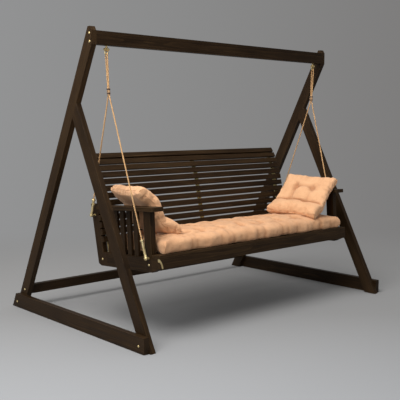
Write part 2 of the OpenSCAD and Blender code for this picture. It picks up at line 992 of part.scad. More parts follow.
module arm() {
    front = -stile_y - arm_nose;
    rear = back_edge(arm_top, 0);
    w = side_t + arm_in + arm_out;
    difference() {
        intersection() {
            slab(side_x - arm_in, w, [
                [front, arm_bottom],
                [back_edge(arm_bottom, 0) - arm_gap, arm_bottom],
                [rear - arm_gap, arm_top],
                [front, arm_top]
            ]);
            translate([side_x - arm_in, front, arm_bottom - 1])
                linear_extrude(height = arm_t + 2)
                    union() {
                        translate([arm_r, 0])
                            square([w - 2 * arm_r, rear - front]);
                        translate([0, arm_r])
                            square([w, rear - front]);
                        for (x = [arm_r, w - arm_r])
                            translate([x, arm_r])
                                circle(r = arm_r);
                    }
        }
        for (y = spindle_ys)
            tenon(spindle_x, y, spindle_t, spindle_w, arm_bottom - 1, tenon_fit);
        tenon(lap_x, -stile_y + stile_d / 2, side_t, stile_d, arm_bottom - 1, tenon_fit);
    }
}

module right_front_stile() {
    color(timber)
        on_bench()
            front_stile();
}

module left_front_stile() {
    color(timber)
        on_bench()
            mirror([1, 0, 0])
                front_stile();
}

module right_rear_stile() {
    color(timber)
        on_bench()
            rear_stile();
}

module left_rear_stile() {
    color(timber)
        on_bench()
            mirror([1, 0, 0])
                rear_stile();
}

module right_side_rail() {
    color(timber)
        on_bench()
            side_rail();
}

module left_side_rail() {
    color(timber)
        on_bench()
            mirror([1, 0, 0])
                side_rail();
}

module right_spindles() {
    color(timber)
        on_bench()
            spindles();
}

module left_spindles() {
    color(timber)
        on_bench()
            mirror([1, 0, 0])
                spindles();
}

module right_arm() {
    color(timber)
        on_bench()
            arm();
}

module left_arm() {
    color(timber)
        on_bench()
            mirror([1, 0, 0])
                arm();
}

module frame_bolts() {
    color(brass)
        on_bench()
            both()
                for (y = frame_bolt_ys)
                    dome_bolt(bench_w / 2, y, frame_bolt_z, frame_bolt_l);
}

module front_apron() {
    color(timber)
        on_bench()
            translate([-bench_w / 2, nose_y, apron_bottom])
                cube([bench_w, apron_t, apron_h]);
}

module seat_slats() {
    inner = 2 * (side_x - board_gap);
    color(timber)
        on_bench()
            for (i = [0 : seat_n - 1]) {
                w = i == 0 ? bench_w : inner;
                translate([-w / 2, nose_y + i * (seat_board_w + seat_gap), rail_top])
                    cube([w, seat_board_w, board_t]);
            }
}

module seat_cleats() {
    color(timber)
        on_bench()
            both()
                translate([side_x - cleat_t, apron_back, rail_top - cleat_h])
                    cube([cleat_t, rear_rail_y - apron_back, cleat_h]);
}

module rear_rail() {
    color(timber)
        on_bench()
            translate([-side_x, rear_rail_y, apron_bottom])
                cube([2 * side_x, rear_rail_t, apron_h]);
}

module centre_bearer() {
    color(timber)
        on_bench()
            translate([-centre_t / 2, apron_back, apron_bottom])
                cube([centre_t, rear_rail_y - apron_back, apron_h]);
}

module strap_blocks() {
    color(timber)
        on_bench()
            for (x = strap_xs)
                strap_block(x);
}

module back_straps() {
    color(brass)
        on_bench()
            for (x = strap_xs)
                back_strap(x);
}

module back_slats() {
    color(timber)
        on_bench()
            for (i = [0 : back_n - 1]) {
                s = back_len - back_board_w / 2 - i * back_pitch;
                p = face_pt(s);
                translate([0, p[0], p[1]])
                    rotate([-face_lean(s), 0, 0])
                        translate([-bench_w / 2, 0, -back_board_w / 2])
                            cube([bench_w, board_t, back_board_w]);
            }
}

// Behind the gap under the top board, fitted between the straps
module top_back_rails() {
    a = face_lean(back_len - back_board_w - back_gap / 2);
    inner = roll_r - board_t;
    sag = inner - sqrt(inner * inner - top_rail_h * top_rail_h / 4);
    rail_fit = 1;
    color(timber)
        on_bench()
            both()
                translate([0, roll_mid[0], roll_mid[1]])
                    rotate([-a, 0, 0])
                        translate([back_strap_w / 2 + rail_fit, -inner + sag + 0.05, -top_rail_h / 2])
                            cube([strap_x - back_strap_w / 2 - 2 * rail_fit, top_rail_t, top_rail_h]);
}

// A thin strap bowed round the left front corner of the apron
module corner_strap() {
    z_mid = (rail_top + apron_bottom) / 2;
    color(brass)
        on_bench()
            intersection() {
                translate([-bench_w / 2 - strap_t, nose_y - strap_t, apron_bottom + 2])
                    difference() {
                        cube([strap_front + strap_t, strap_side + strap_t, apron_h - 4]);
                        translate([strap_t, strap_t, -1])
                            cube([strap_front + 1, strap_side + 1, apron_h]);
                    }
                translate([-bench_w / 2 + strap_front - 6 - strap_r, 0, z_mid - apron_h / 2])
                    rotate([90, 0, 0])
                        difference() {
                            cylinder(r = strap_r, h = 4 * stile_y, center = true);
                            cylinder(r = strap_r - strap_w, h = 5 * stile_y, center = true);
                        }
            }
}

// ---- cushions ----

// Two triangles of a cell; the cut runs from the rim's corners towards the middle
function cell(a, b, c, d, along) = along ? [[a, c, b], [a, d, c]] : [[a, d, b], [b, d, c]];

// Two sheets on one grid that share their rim; top and bottom are lists of rows of points
module two_sheets(top, bottom) {
    nu = len(top) - 1;
    nv = len(top[0]) - 1;
    at = function (i, j) i * (nv + 1) + j;
    rim = function (i, j) i == 0 || j == 0 || i == nu || j == nv;
    below = function (i, j) rim(i, j) ? at(i, j)
        : (nu + 1) * (nv + 1) + (i - 1) * (nv - 1) + j - 1;
    pts = concat(
        [for (i = [0 : nu]) for (j = [0 : nv]) top[i][j]],
        [for (i = [1 : nu - 1]) for (j = [1 : nv - 1]) bottom[i][j]]
    );
    up = [for (i = [0 : nu - 1]) for (j = [0 : nv - 1])
        each cell(at(i, j), at(i + 1, j), at(i + 1, j + 1), at(i, j + 1),
            (i < nu / 2) == (j < nv / 2))];
    down = [for (i = [0 : nu - 1]) for (j = [0 : nv - 1])
        each cell(below(i, j), below(i, j + 1), below(i + 1, j + 1), below(i + 1, j),
            (i < nu / 2) == (j < nv / 2))];
    polyhedron(points = pts, faces = concat(up, down));
}

// Stations across a span of +-half, close together where the edge turns over r
function stations(half, r, step) =
    let (n = 2 * floor((half - r) / step), inner = n * step / 2)
    concat(
        [-half, -half + 0.06 * r, -half + 0.35 * r],
        [for (k = [-n / 2 : n / 2]) k * step],
        [half - 0.35 * r, half - 0.06 * r, half]
    );

// Height of a rounded edge, as a share of the full height, d in from the rim
function shoulder(d, r, square) =
    pow(1 - pow(1 - min(max(d, 0) / r, 1), square), 1 / square);
function bump(d, w) = exp(-d * d / (2 * w * w));

cushion_y0 = nose_y + 2;
cushion_y1 = back_edge(seat_z, 0) - 4;
cushion_half_w = side_x - cushion_gap;
cushion_half_d = (cushion_y1 - cushion_y0) / 2;
cushion_mid_y = (cushion_y0 + cushion_y1) / 2;

function cushion_dip(x, y) =
    let (dx = x - tuft_pitch * round(x / tuft_pitch))
    tuft_dip * bump(norm([dx, y]), 34) + 0.25 * tuft_dip * bump(dx, 26);

function cushion_pt(x, y, up) =
    let (
        e = shoulder(cushion_half_w - abs(x), cushion_r, cushion_square)
            * shoulder(cushion_half_d - abs(y), cushion_r, cushion_square),
        pull_y = cushion_draw * (0.5 + 0.5 * cos(360 * x / tuft_pitch)),
        pull_x = cushion_draw * (1 - pow(y / cushion_half_d, 2)),
        crown = cushion_crown * (1 - pow(x / cushion_half_w, 4)) * (1 - pow(y / cushion_half_d, 2))
    )
    [
        x - sign(x) * pull_x * pow(x / cushion_half_w, 2),
        cushion_mid_y + y - sign(y) * pull_y * pow(y / cushion_half_d, 2),
        seat_z + soft_gap + cushion_t / 2
            + (up ? e * (cushion_t / 2 + crown - cushion_dip(x, y)) : -e * cushion_t / 2)
    ];

module seat_cushion() {
    xs = stations(cushion_half_w, cushion_r, tuft_pitch / 4);
    ys = stations(cushion_half_d, cushion_r, (cushion_half_d - cushion_r) / 4.01);
    color(cloth)
        on_bench()
            two_sheets(
                [for (x = xs) [for (y = ys) cushion_pt(x, y, true)]],
                [for (x = xs) [for (y = ys) cushion_pt(x, y, false)]]
            );
}

// A pillow stands in X and Z and faces -Y. Its lower third bends forward, and its upper
// third back.
pillow_half = pillow_w / 2;
bend_from = pillow_w / 9;

// Run, rise and turn of a bend, k up or down from the middle
function bent(k, angle) =
    let (
        t = min(max(k / bend_from - 1, 0), 1),
        r = bend_from / (angle * PI / 180),
        rest = max(k - 2 * bend_from, 0)
    )
    [r * (1 - cos(angle * t)) + rest * sin(angle * t),
     min(k, bend_from) + r * sin(angle * t) + rest * cos(angle * t),
     angle * t];

// Point and turn of a pillow's middle sheet at height h
function pillow_mid(h, low, high) =
    let (m = bent(abs(h), h < 0 ? low : high))
    h < 0 ? [-m[0], -m[1], m[2]] : m;

function pillow_body(u, v) =
    shoulder(pillow_half * (1 - abs(u)), pillow_r, pillow_square)
        * shoulder(pillow_half * (1 - abs(v)), pillow_r, pillow_square);
function pillow_tufts(u, v) =
    let (a = abs(u) - 1 / 3, b = abs(v) - 1 / 3)
    pillow_dip * bump(norm([a, b]), 0.14)
        + 0.4 * pillow_dip * bump(a, 0.09) + 0.4 * pillow_dip * bump(b, 0.09);

function pillow_pt(u, v, ahead, low, high) =
    let (
        m = pillow_mid(v * (pillow_half - pillow_draw * (1 - u * u) * v * v), low, high),
        crown = pillow_crown * (1 - u * u) * (1 - v * v) + 7 * bump(v + 0.72, 0.25),
        th = pillow_body(u, v)
            * (ahead ? pillow_tufts(u, v) - pillow_front - crown : pillow_back + crown)
    )
    [
        u * (pillow_half - pillow_draw * (1 - v * v) * u * u),
        m[0] + th * cos(m[2]),
        m[1] - th * sin(m[2])
    ];

pillow_cells = 22;

module pillow(low, high) {
    // closer rows towards the seam
    us = [for (k = [0 : pillow_cells]) sin(90 * (2 * k / pillow_cells - 1))];
    two_sheets(
        [for (u = us) [for (v = us) pillow_pt(u, v, true, low, high)]],
        [for (u = us) [for (v = us) pillow_pt(u, v, false, low, high)]]
    );
}

// across, back and drop place a pillow's middle from the side frame, the stile and the arm
module place_pillow(across, back, drop, turn) {
    on_bench()
        translate([across, stile_back + back, arm_top - drop])
            rotate([0, 0, turn[0]])
                rotate([-turn[1], turn[2], 0])
                    children();
}

module left_pillow() {
    color(cloth)
        place_pillow(left_pillow_in - side_x, left_pillow_back, left_pillow_drop, [77.3, 16.4, -1.5])
            pillow(52.7, 34.8);
}

module right_pillow() {
    color(cloth)
        place_pillow(side_x - right_pillow_in, right_pillow_back, right_pillow_drop, [-80.2, 40.4, 6.2])
            pillow(27.9, 6.1);
}

// ---- output ----

left_post();
right_post();
left_strut();
right_strut();
left_ground_rail();
right_ground_rail();
top_beam();
rear_stretcher();
beam_bolts();
stretcher_bolts();
rail_bolts();
eye_screws();
shackles();
shackle_pins();
left_rope();
right_rope();
whippings();
whipping_bands();
front_ferrules();
rear_ferrules();
ferrule_studs();
clamp_screws();
left_front_stile();
right_front_stile();
left_rear_stile();
right_rear_stile();
left_side_rail();
right_side_rail();
left_spindles();
right_spindles();
left_arm();
right_arm();
front_apron();
seat_slats();
seat_cleats();
centre_bearer();
rear_rail();
strap_blocks();
back_straps();
back_slats();
top_back_rails();
frame_bolts();
corner_strap();
seat_cushion();
left_pillow();
right_pillow();
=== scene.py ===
import json
import math

import bmesh
import bpy
import numpy as np
from mathutils import Matrix, Vector
from mathutils import noise as perlin
from mathutils.bvhtree import BVHTree

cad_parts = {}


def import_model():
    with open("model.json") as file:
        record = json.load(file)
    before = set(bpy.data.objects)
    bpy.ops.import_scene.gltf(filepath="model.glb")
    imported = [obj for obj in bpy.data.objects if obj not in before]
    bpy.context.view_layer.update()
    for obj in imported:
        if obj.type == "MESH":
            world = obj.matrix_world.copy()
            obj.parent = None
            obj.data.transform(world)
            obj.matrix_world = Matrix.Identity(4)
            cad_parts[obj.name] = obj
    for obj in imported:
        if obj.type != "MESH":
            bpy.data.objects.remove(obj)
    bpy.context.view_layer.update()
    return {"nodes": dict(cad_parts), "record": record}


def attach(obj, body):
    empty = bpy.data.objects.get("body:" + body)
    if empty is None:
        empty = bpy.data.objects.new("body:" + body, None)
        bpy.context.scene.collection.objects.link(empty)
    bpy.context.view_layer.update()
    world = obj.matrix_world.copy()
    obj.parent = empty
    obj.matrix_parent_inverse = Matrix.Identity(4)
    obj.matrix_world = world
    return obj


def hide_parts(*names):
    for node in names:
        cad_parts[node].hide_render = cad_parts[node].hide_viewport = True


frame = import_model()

MM = 0.001


def add_object(name, data):
    ob = bpy.data.objects.new(name, data)
    bpy.context.scene.collection.objects.link(ob)
    return ob


# ---- camera: solved together with the object from points of the photograph ----------

CAMERA_AT = Vector((-3.8456, -4.2434, 1.4020))
CAMERA_YAW, CAMERA_PITCH, CAMERA_ROLL = 0.7326, 0.1039, -0.0023
CAMERA_LENS, CAMERA_SENSOR = 64.79, 36.0


def make_camera():
    data = bpy.data.cameras.new("camera")
    data.lens, data.sensor_width = CAMERA_LENS, CAMERA_SENSOR
    data.clip_start, data.clip_end = 0.05, 200
    cam = add_object("camera", data)
    ahead = Vector((math.sin(CAMERA_YAW) * math.cos(CAMERA_PITCH),
                    math.cos(CAMERA_YAW) * math.cos(CAMERA_PITCH),
                    -math.sin(CAMERA_PITCH)))
    turn = ahead.to_track_quat("-Z", "Y").to_matrix() @ Matrix.Rotation(CAMERA_ROLL, 3, "Z")
    cam.matrix_world = Matrix.Translation(CAMERA_AT) @ turn.to_4x4()
    bpy.context.scene.camera = cam


make_camera()

# ---- node helpers -------------------------------------------------------------------


class Tree:
    """A short way to write a node tree: make nodes with t("Type", input=value, ...)."""

    def __init__(self, owner):
        owner.use_nodes = True
        self.tree = owner.node_tree
        self.tree.nodes.clear()

    def __call__(self, kind, out=0, props=None, **inputs):
        """An input is named by its label, with _ for a space, or by i and its number."""
        node = self.tree.nodes.new(kind)
        for key, value in (props or {}).items():
            setattr(node, key, value)
        for key, value in inputs.items():
            numbered = key[0] == "i" and key[1:].isdigit()
            self.put(node.inputs[int(key[1:]) if numbered else key.replace("_", " ")], value)
        return node.outputs[out]

    def put(self, socket, value):
        if isinstance(value, bpy.types.NodeSocket):
            self.tree.links.new(value, socket)
        else:
            socket.default_value = value

    def math(self, op, *values):
        return self("ShaderNodeMath", props={"operation": op},
                    **{f"i{k}": v for k, v in enumerate(values)})

    def vmath(self, op, *values, out=0):
        return self("ShaderNodeVectorMath", out, {"operation": op},
                    **{f"i{k}": v for k, v in enumerate(values)})

    def total(self, *terms):
        """The sum of (value, weight) pairs."""
        first, *others = [self.math("MULTIPLY", value, weight) for value, weight in terms]
        for other in others:
            first = self.math("ADD", first, other)
        return first

    def off(self, value):
        """How far a value is from its middle, one half."""
        return self.math("SUBTRACT", value, 0.5)

    def noise(self, vector, scale, detail, rough, out=0):
        """scale is one number, or one for each axis."""
        if not isinstance(scale, (int, float)):
            vector, scale = self.vmath("MULTIPLY", vector, scale), 1.0
        return self("ShaderNodeTexNoise", out, Vector=vector, Scale=scale, Detail=detail,
                    Roughness=rough)

    def wave(self, vector, scale, axis, distort=0.0):
        props = {"wave_type": "BANDS", "bands_direction": axis, "wave_profile": "SIN"}
        return self("ShaderNodeTexWave", 1, props, Vector=vector, Scale=scale,
                    Distortion=distort)

    def ramp(self, factor, *stops):
        node = self.tree.nodes.new("ShaderNodeValToRGB")
        while len(node.color_ramp.elements) < len(stops):
            node.color_ramp.elements.new(0.5)
        for element, (place, colour) in zip(node.color_ramp.elements, stops):
            element.position, element.color = place, (*colour, 1)
        self.tree.links.new(factor, node.inputs[0])
        return node.outputs[0]

    def levels(self, value, a, b, c=0.0, d=1.0, smooth=False):
        """a to b becomes c to d."""
        kind = "SMOOTHSTEP" if smooth else "LINEAR"
        return self("ShaderNodeMapRange", props={"interpolation_type": kind},
                    i0=value, i1=a, i2=b, i3=c, i4=d)

    def mix(self, factor, a, b):
        """Colour a where factor is 0, b where it is 1."""
        node = self.tree.nodes.new("ShaderNodeMix")
        node.data_type = "RGBA"
        for socket, value in zip((node.inputs[0], node.inputs[6], node.inputs[7]),
                                 (factor, a, b)):
            self.put(socket, (*value, 1) if isinstance(value, tuple) else value)
        return node.outputs[2]

    def bump(self, height, distance, strength, **under):
        return self("ShaderNodeBump", Height=height, Distance=distance, Strength=strength,
                    **under)

    def coords(self):
        return self("ShaderNodeTexCoord", 3)

    def split(self, vector):
        return self("ShaderNodeSeparateXYZ", Vector=vector).node.outputs

    def attribute(self, name, out="Vector"):
        return self("ShaderNodeAttribute", out, {"attribute_name": name})

    def surface(self, shader, end="ShaderNodeOutputMaterial"):
        self.tree.links.new(shader, self.tree.nodes.new(end).inputs[0])

    def principled(self, colour, rough, normal, **more):
        self.surface(self("ShaderNodeBsdfPrincipled", Base_Color=colour, Roughness=rough,
                          Normal=normal, **more))


def new_material(name):
    m = bpy.data.materials.new(name)
    return m, Tree(m)


# ---- materials ----------------------------------------------------------------------


def timber_material():
    """Dark stained softwood: growth rings round a pith, fine pores, worn edges."""
    m, t = new_material("stained_timber")
    wood = t.attribute("wood")                     # metres: x along the grain, y, z across
    tone = t.attribute("tone", "Fac")
    wander = t.noise(wood, (1.2, 9, 9), 3, 0.55)
    _, across_y, across_z = t.split(wood)
    from_pith = t.vmath("LENGTH", t("ShaderNodeCombineXYZ", Y=across_y, Z=across_z), out=1)
    ring = t.total((from_pith, 210.0), (wander, 5.0))     # 210 rings to the metre
    late = t.math("POWER", t.math("FRACT", ring), 3.0)
    fibre = t.noise(wood, (9, 900, 900), 3, 0.6)
    streak = t.noise(wood, (2.2, 150, 150), 3, 0.6)
    cloud = t.noise(wood, (3, 12, 12), 2, 0.5)
    value = t.total((late, 0.34), (streak, 0.75), (t.off(fibre), 0.5), (t.off(cloud), 0.5),
                    (t.off(tone), 0.22))
    colour = t.ramp(value,
                    (0.15, (0.0110, 0.0052, 0.0016)),
                    (0.45, (0.0235, 0.0120, 0.0042)),
                    (0.75, (0.0410, 0.0220, 0.0080)),
                    (1.0, (0.0680, 0.0380, 0.0145)))
    edge = t("ShaderNodeBevel", props={"samples": 4}, Radius=0.004)
    true_normal = t("ShaderNodeNewGeometry", 3)
    turned = t.vmath("DOT_PRODUCT", edge, true_normal, out=1)
    worn = t.levels(turned, 0.995, 0.86)
    scuff = t.levels(t.noise(wood, (25, 60, 60), 4, 0.6), 0.45, 0.68)
    wear = t.math("MULTIPLY", t.math("MULTIPLY", worn, scuff), 0.6)
    colour = t.mix(wear, colour, (0.100, 0.060, 0.028))
    rough = t.levels(t.total((streak, 0.7), (cloud, 0.3)), 0.3, 0.7, 0.46, 0.62)
    height = t.total((fibre, 0.5), (late, -0.25), (streak, 0.35))
    t.principled(colour, rough, t.bump(height, 0.0005, 0.55), Specular_IOR_Level=0.13,
                 Coat_Weight=0.03, Coat_Roughness=0.3)
    return m


def brass_material():
    """Old polished brass: clouded, scratched, and darker in its corners."""
    m, t = new_material("brass")
    at = t.coords()
    cloud = t.noise(at, 55, 4, 0.6)
    grime = t.noise(at, 9, 3, 0.6)
    colour = t.ramp(t.total((cloud, 0.6), (grime, 0.4)),
                    (0.3, (0.46, 0.31, 0.115)),
                    (0.5, (0.76, 0.60, 0.30)),
                    (0.7, (0.88, 0.76, 0.46)))
    open_air = t("ShaderNodeAmbientOcclusion", 1, {"samples": 4, "inside": False},
                 Distance=0.006)
    colour = t.mix(t.levels(open_air, 0.35, 0.85), (0.16, 0.10, 0.04), colour)
    scratch = t.noise(at, (350, 350, 40), 3, 0.65)
    rough = t.levels(t.total((scratch, 1.0), (cloud, 0.6)), 0.55, 1.05, 0.24, 0.48)
    t.principled(colour, rough, t.bump(scratch, 0.00015, 0.5), Metallic=0.78)
    return m


def brushed_brass_material():
    """The thin straps behind the boards: flat pale gold with a brushed face."""
    m, t = new_material("brushed_brass")
    at = t.coords()
    brush = t.noise(at, (900, 60, 60), 3, 0.6)
    cloud = t.noise(at, 30, 3, 0.6)
    colour = t.ramp(t.total((brush, 0.5), (cloud, 0.5)),
                    (0.3, (0.62, 0.50, 0.20)),
                    (0.55, (0.86, 0.74, 0.36)),
                    (0.75, (0.95, 0.86, 0.50)))
    rough = t.levels(brush, 0.3, 0.7, 0.42, 0.62)
    t.principled(colour, rough, t.bump(brush, 0.0001, 0.5), Metallic=0.6)
    return m


def rope_material():
    """Hemp strands, with fine yarns along each strand."""
    m, t = new_material("hemp_rope")
    lay = t.attribute("lay")          # x along the strand, y round it, z a number for each
    fibre = t.noise(lay, (90, 2600, 3), 3, 0.65)
    yarn = t.wave(t.vmath("MULTIPLY", lay, (0.35, 1, 0)), 105.0, "Y", 0.6)
    cloud = t.noise(lay, (4, 0, 1), 3, 0.6)
    colour = t.ramp(t.total((fibre, 0.55), (cloud, 0.35), (yarn, 0.12)),
                    (0.25, (0.33, 0.165, 0.058)),
                    (0.5, (0.57, 0.33, 0.135)),
                    (0.8, (0.78, 0.52, 0.26)))
    height = t.total((fibre, 0.6), (yarn, 0.5))
    t.principled(colour, 0.82, t.bump(height, 0.0006, 0.8), Sheen_Weight=0.35,
                 Sheen_Roughness=0.5)
    return m


def twine_material(name, dark, mid, light):
    m, t = new_material(name)
    at = t.coords()
    fibre = t.noise(at, (900, 900, 2500), 3, 0.6)
    cloud = t.noise(at, 60, 3, 0.6)
    colour = t.ramp(t.total((fibre, 0.6), (cloud, 0.4)), (0.3, dark), (0.5, mid),
                    (0.75, light))
    t.principled(colour, 0.85, t.bump(fibre, 0.0004, 0.7), Sheen_Weight=0.3,
                 Sheen_Roughness=0.5)
    return m


def cloth_material():
    """Plain-weave cotton canvas in a warm tan: slubs, soft fading, and creases darkened with
    painted shade.
    """
    m, t = new_material("canvas")
    cloth = t.attribute("cloth")                   # metres in the plane of the cloth
    # painted shade in creases, tufts and hollows, and an even darkening on some pieces
    crease = t.attribute("crease", "Fac")
    warp = t.noise(cloth, (8, 8, 8), 2, 0.5, out=1)
    waver = t.vmath("MULTIPLY", t.vmath("SUBTRACT", warp, (0.5, 0.5, 0.5)),
                    (0.0012, 0.0012, 0))
    threads = t.vmath("ADD", cloth, waver)
    weave = t.math("MAXIMUM", t.wave(threads, 185.0, "X"), t.wave(threads, 185.0, "Y"))
    slub_x = t.noise(cloth, (22, 1100, 1), 2, 0.5)
    slub_y = t.noise(cloth, (1100, 22, 1), 2, 0.5)
    slubs = t.math("MULTIPLY", t.math("ADD", slub_x, slub_y), 0.5)
    cloud = t.noise(cloth, (7, 7, 7), 4, 0.55)
    value = t.total((slubs, 0.55), (cloud, 0.45), (t.math("SUBTRACT", weave, 0.6), 0.10))
    colour = t.ramp(value,
                    (0.30, (0.540, 0.282, 0.143)),
                    (0.50, (0.690, 0.385, 0.207)),
                    (0.72, (0.795, 0.485, 0.278)))
    # painted shade: mixed towards dark brown where the attribute is high
    colour = t.mix(t.math("MULTIPLY", crease, 0.62), colour, (0.36, 0.155, 0.068))
    pucker = t.noise(cloth, (38, 38, 38), 4, 0.6)
    normal = t.bump(t.total((weave, 0.7), (slubs, 0.6)), 0.0005, 0.6,
                    Normal=t.bump(pucker, 0.0035, 0.45))
    t.principled(colour, t.levels(value, 0.3, 0.7, 0.93, 0.80), normal, Sheen_Weight=0.25,
                 Sheen_Roughness=0.45, Sheen_Tint=(1.0, 0.86, 0.72, 1.0),
                 Specular_IOR_Level=0.25)
    return m


TIMBER = timber_material()
BRASS = brass_material()
BRUSHED = brushed_brass_material()
ROPE = rope_material()
TWINE = twine_material("tan_twine", (0.20, 0.10, 0.04), (0.42, 0.25, 0.12),
                       (0.62, 0.42, 0.23))
BAND = twine_material("brown_twine", (0.020, 0.010, 0.006), (0.055, 0.026, 0.014),
                      (0.11, 0.055, 0.03))
CANVAS = cloth_material()

# ---- mesh helpers -------------------------------------------------------------------

BODY = {n: b for b, members in frame["record"]["behaviour"]["bodies"].items()
        for n in members}


def stand_in(node, ending, mesh, material):
    """A new piece in the place of a CAD node, riding on the node's body."""
    ob = add_object(node + ending, mesh)
    mesh.materials.clear()
    mesh.materials.append(material)
    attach(ob, BODY[node])
    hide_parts(node)
    return ob


def points_of(mesh):
    co = np.zeros(len(mesh.vertices) * 3)
    mesh.vertices.foreach_get("co", co)
    return co.reshape(-1, 3)


def add_attribute(mesh, name, kind, values):
    layer = mesh.attributes.new(name, kind, "POINT")
    key = "vector" if kind == "FLOAT_VECTOR" else "value"
    layer.data.foreach_set(key, np.asarray(values, np.float32).ravel())


def make_mesh(name, points, faces):
    mesh = bpy.data.meshes.new(name)
    mesh.from_pydata([tuple(p) for p in points], [], faces)
    mesh.validate()
    mesh.shade_smooth()
    return mesh


def outward(mesh):
    bm = bmesh.new()
    bm.from_mesh(mesh)
    bmesh.ops.recalc_face_normals(bm, faces=bm.faces)
    bm.to_mesh(mesh)
    bm.free()
    return mesh


def joined(parts):
    """Several (points, faces) as one."""
    points, faces, count = [], [], 0
    for p, f in parts:
        points.append(p)
        faces += [tuple(v + count for v in face) for face in f]
        count += len(p)
    return np.concatenate(points), faces


def skin(rings, wrap=False):
    """Quads between rows of points, (rows, around, 3): capped, or closed into a ring."""
    rows, around = rings.shape[:2]
    faces = []
    for i in range(rows if wrap else rows - 1):
        a, b = i * around, (i + 1) % rows * around
        faces += [(a + k, a + (k + 1) % around, b + (k + 1) % around, b + k)
                  for k in range(around)]
    if not wrap:
        faces += [tuple(range(around))[::-1],
                  tuple(range((rows - 1) * around, rows * around))]
    return rings.reshape(-1, 3), faces


def unit_rows(vectors):
    return vectors / np.maximum(np.linalg.norm(vectors, axis=1), 1e-12)[:, None]


def run_of(line):
    """The distance along a line of points, at each point."""
    return np.concatenate([[0], np.cumsum(np.linalg.norm(np.diff(line, axis=0), axis=1))])


def circles(middles, across, beside, radius, sides):
    """A ring of points round each middle, in the plane of its two directions."""
    a = np.arange(sides) * math.tau / sides
    return middles[:, None] + radius * (np.cos(a)[None, :, None] * across[:, None]
                                        + np.sin(a)[None, :, None] * beside[:, None])


# ---- timber: the CAD's pieces with eased edges --------------------------------------

HINGE_Y, HINGE_Z = -232.0, 1900.0                  # millimetres
BENCH_TILT, BACK_LEAN = math.radians(3.5), math.radians(8.5)
POST_LEAN, STRUT_LEAN = math.radians(26.3), math.radians(27.05)
WELD, EASE = 2e-5, 0.0024                          # metres
FLAT_ANGLE, SHARP_ANGLE = math.radians(0.6), math.radians(24)


def grain(direction):
    """Rows that turn the part's axes into the wood's: x runs along the grain."""
    x = Vector(direction).normalized()
    z = Vector((0, 1, 0)) if abs(x.y) < 0.7 else Vector((1, 0, 0))
    y = z.cross(x).normalized()
    return np.array([x, y, x.cross(y)])


def hung(y, z):
    """A direction in the bench's own Y and Z, turned with the bench."""
    c, s = math.cos(-BENCH_TILT), math.sin(-BENCH_TILT)
    return (0, y * c - z * s, y * s + z * c)


ACROSS = (1, 0, 0)
UP_THE_BACK = hung(math.sin(BACK_LEAN), math.cos(BACK_LEAN))
ALONG = {
    "left_post": (0, -math.sin(POST_LEAN), math.cos(POST_LEAN)),
    "left_strut": (0, math.sin(STRUT_LEAN), math.cos(STRUT_LEAN)),
    "left_ground_rail": (0, 1, 0),
    "top_beam": ACROSS,
    "rear_stretcher": ACROSS,
    "left_front_stile": hung(0, 1),
    "left_rear_stile": UP_THE_BACK,
    "left_side_rail": hung(1, 0),
    "left_spindles": hung(0, 1),
    "left_arm": hung(1, 0),
    "front_apron": ACROSS,
    "seat_slats": ACROSS,
    "seat_cleats": hung(1, 0),
    "centre_bearer": hung(1, 0),
    "strap_blocks": UP_THE_BACK,
    "rear_rail": ACROSS,
    "back_slats": ACROSS,
    "top_back_rails": ACROSS,
}
ALONG.update({name.replace("left_", "right_"): way for name, way in ALONG.items()
              if name.startswith("left_")})


def islands(count, pairs):
    """The number of the loose part that each vertex is in."""
    label = np.arange(count)
    while True:
        low = np.minimum(label[pairs[:, 0]], label[pairs[:, 1]])
        new = label.copy()
        np.minimum.at(new, pairs[:, 0], low)
        np.minimum.at(new, pairs[:, 1], low)
        new = new[new]
        if (new == label).all():
            break
        label = new
    return np.unique(label, return_inverse=True)[1]


def eased_timber(node, seed):
    rng = np.random.default_rng(seed)
    bm = bmesh.new()
    bm.from_mesh(frame["nodes"][node].data)
    bmesh.ops.remove_doubles(bm, verts=bm.verts, dist=WELD)
    bmesh.ops.dissolve_limit(bm, angle_limit=FLAT_ANGLE, verts=bm.verts, edges=bm.edges)
    sharp = [e for e in bm.edges
             if len(e.link_faces) == 2 and e.calc_face_angle(0) > SHARP_ANGLE]
    for f in bm.faces:
        f.smooth = False
    made = bmesh.ops.bevel(bm, geom=sharp, offset=EASE, offset_type="OFFSET", segments=3,
                           profile=0.5, affect="EDGES", clamp_overlap=True)
    for f in made["faces"]:
        f.smooth = True
    mesh = bpy.data.meshes.new(node + "_eased")
    bm.to_mesh(mesh)
    bm.free()

    # Each board gets its own place in the wood, so no two have the same grain
    co = points_of(mesh)
    edges = np.zeros(len(mesh.edges) * 2, int)
    mesh.edges.foreach_get("vertices", edges)
    board = islands(len(co), edges.reshape(-1, 2))
    rows = grain(ALONG[node])
    wood = np.zeros_like(co)
    tone = np.zeros(len(co))
    for k in range(board.max() + 1):
        own = board == k
        middle = (co[own].min(0) + co[own].max(0)) / 2
        away = np.array([rng.uniform(-40, 40), rng.uniform(-0.05, 0.05),
                         rng.choice([-1, 1]) * rng.uniform(0.03, 0.16)])
        wood[own] = (co[own] - middle) @ rows.T + away
        tone[own] = rng.uniform(0, 1)
    add_attribute(mesh, "wood", "FLOAT_VECTOR", wood)
    add_attribute(mesh, "tone", "FLOAT", tone)
    stand_in(node, "_timber", mesh, TIMBER)


for number, name in enumerate(sorted(ALONG)):
    eased_timber(name, 100 + number)

# ---- brass: the CAD's own pieces with their finish ----------------------------------

for name in ("beam_bolts", "stretcher_bolts", "rail_bolts", "eye_screws", "shackles",
             "shackle_pins", "front_ferrules", "rear_ferrules", "ferrule_studs",
             "clamp_screws", "frame_bolts", "corner_strap", "back_straps"):
    finish = BRUSHED if name == "back_straps" else BRASS
    slots = frame["nodes"][name].data.materials
    if not slots:
        slots.append(finish)
    for k in range(len(slots)):
        slots[k] = finish

# ---- ropes: three strands laid round one path ---------------------------------------

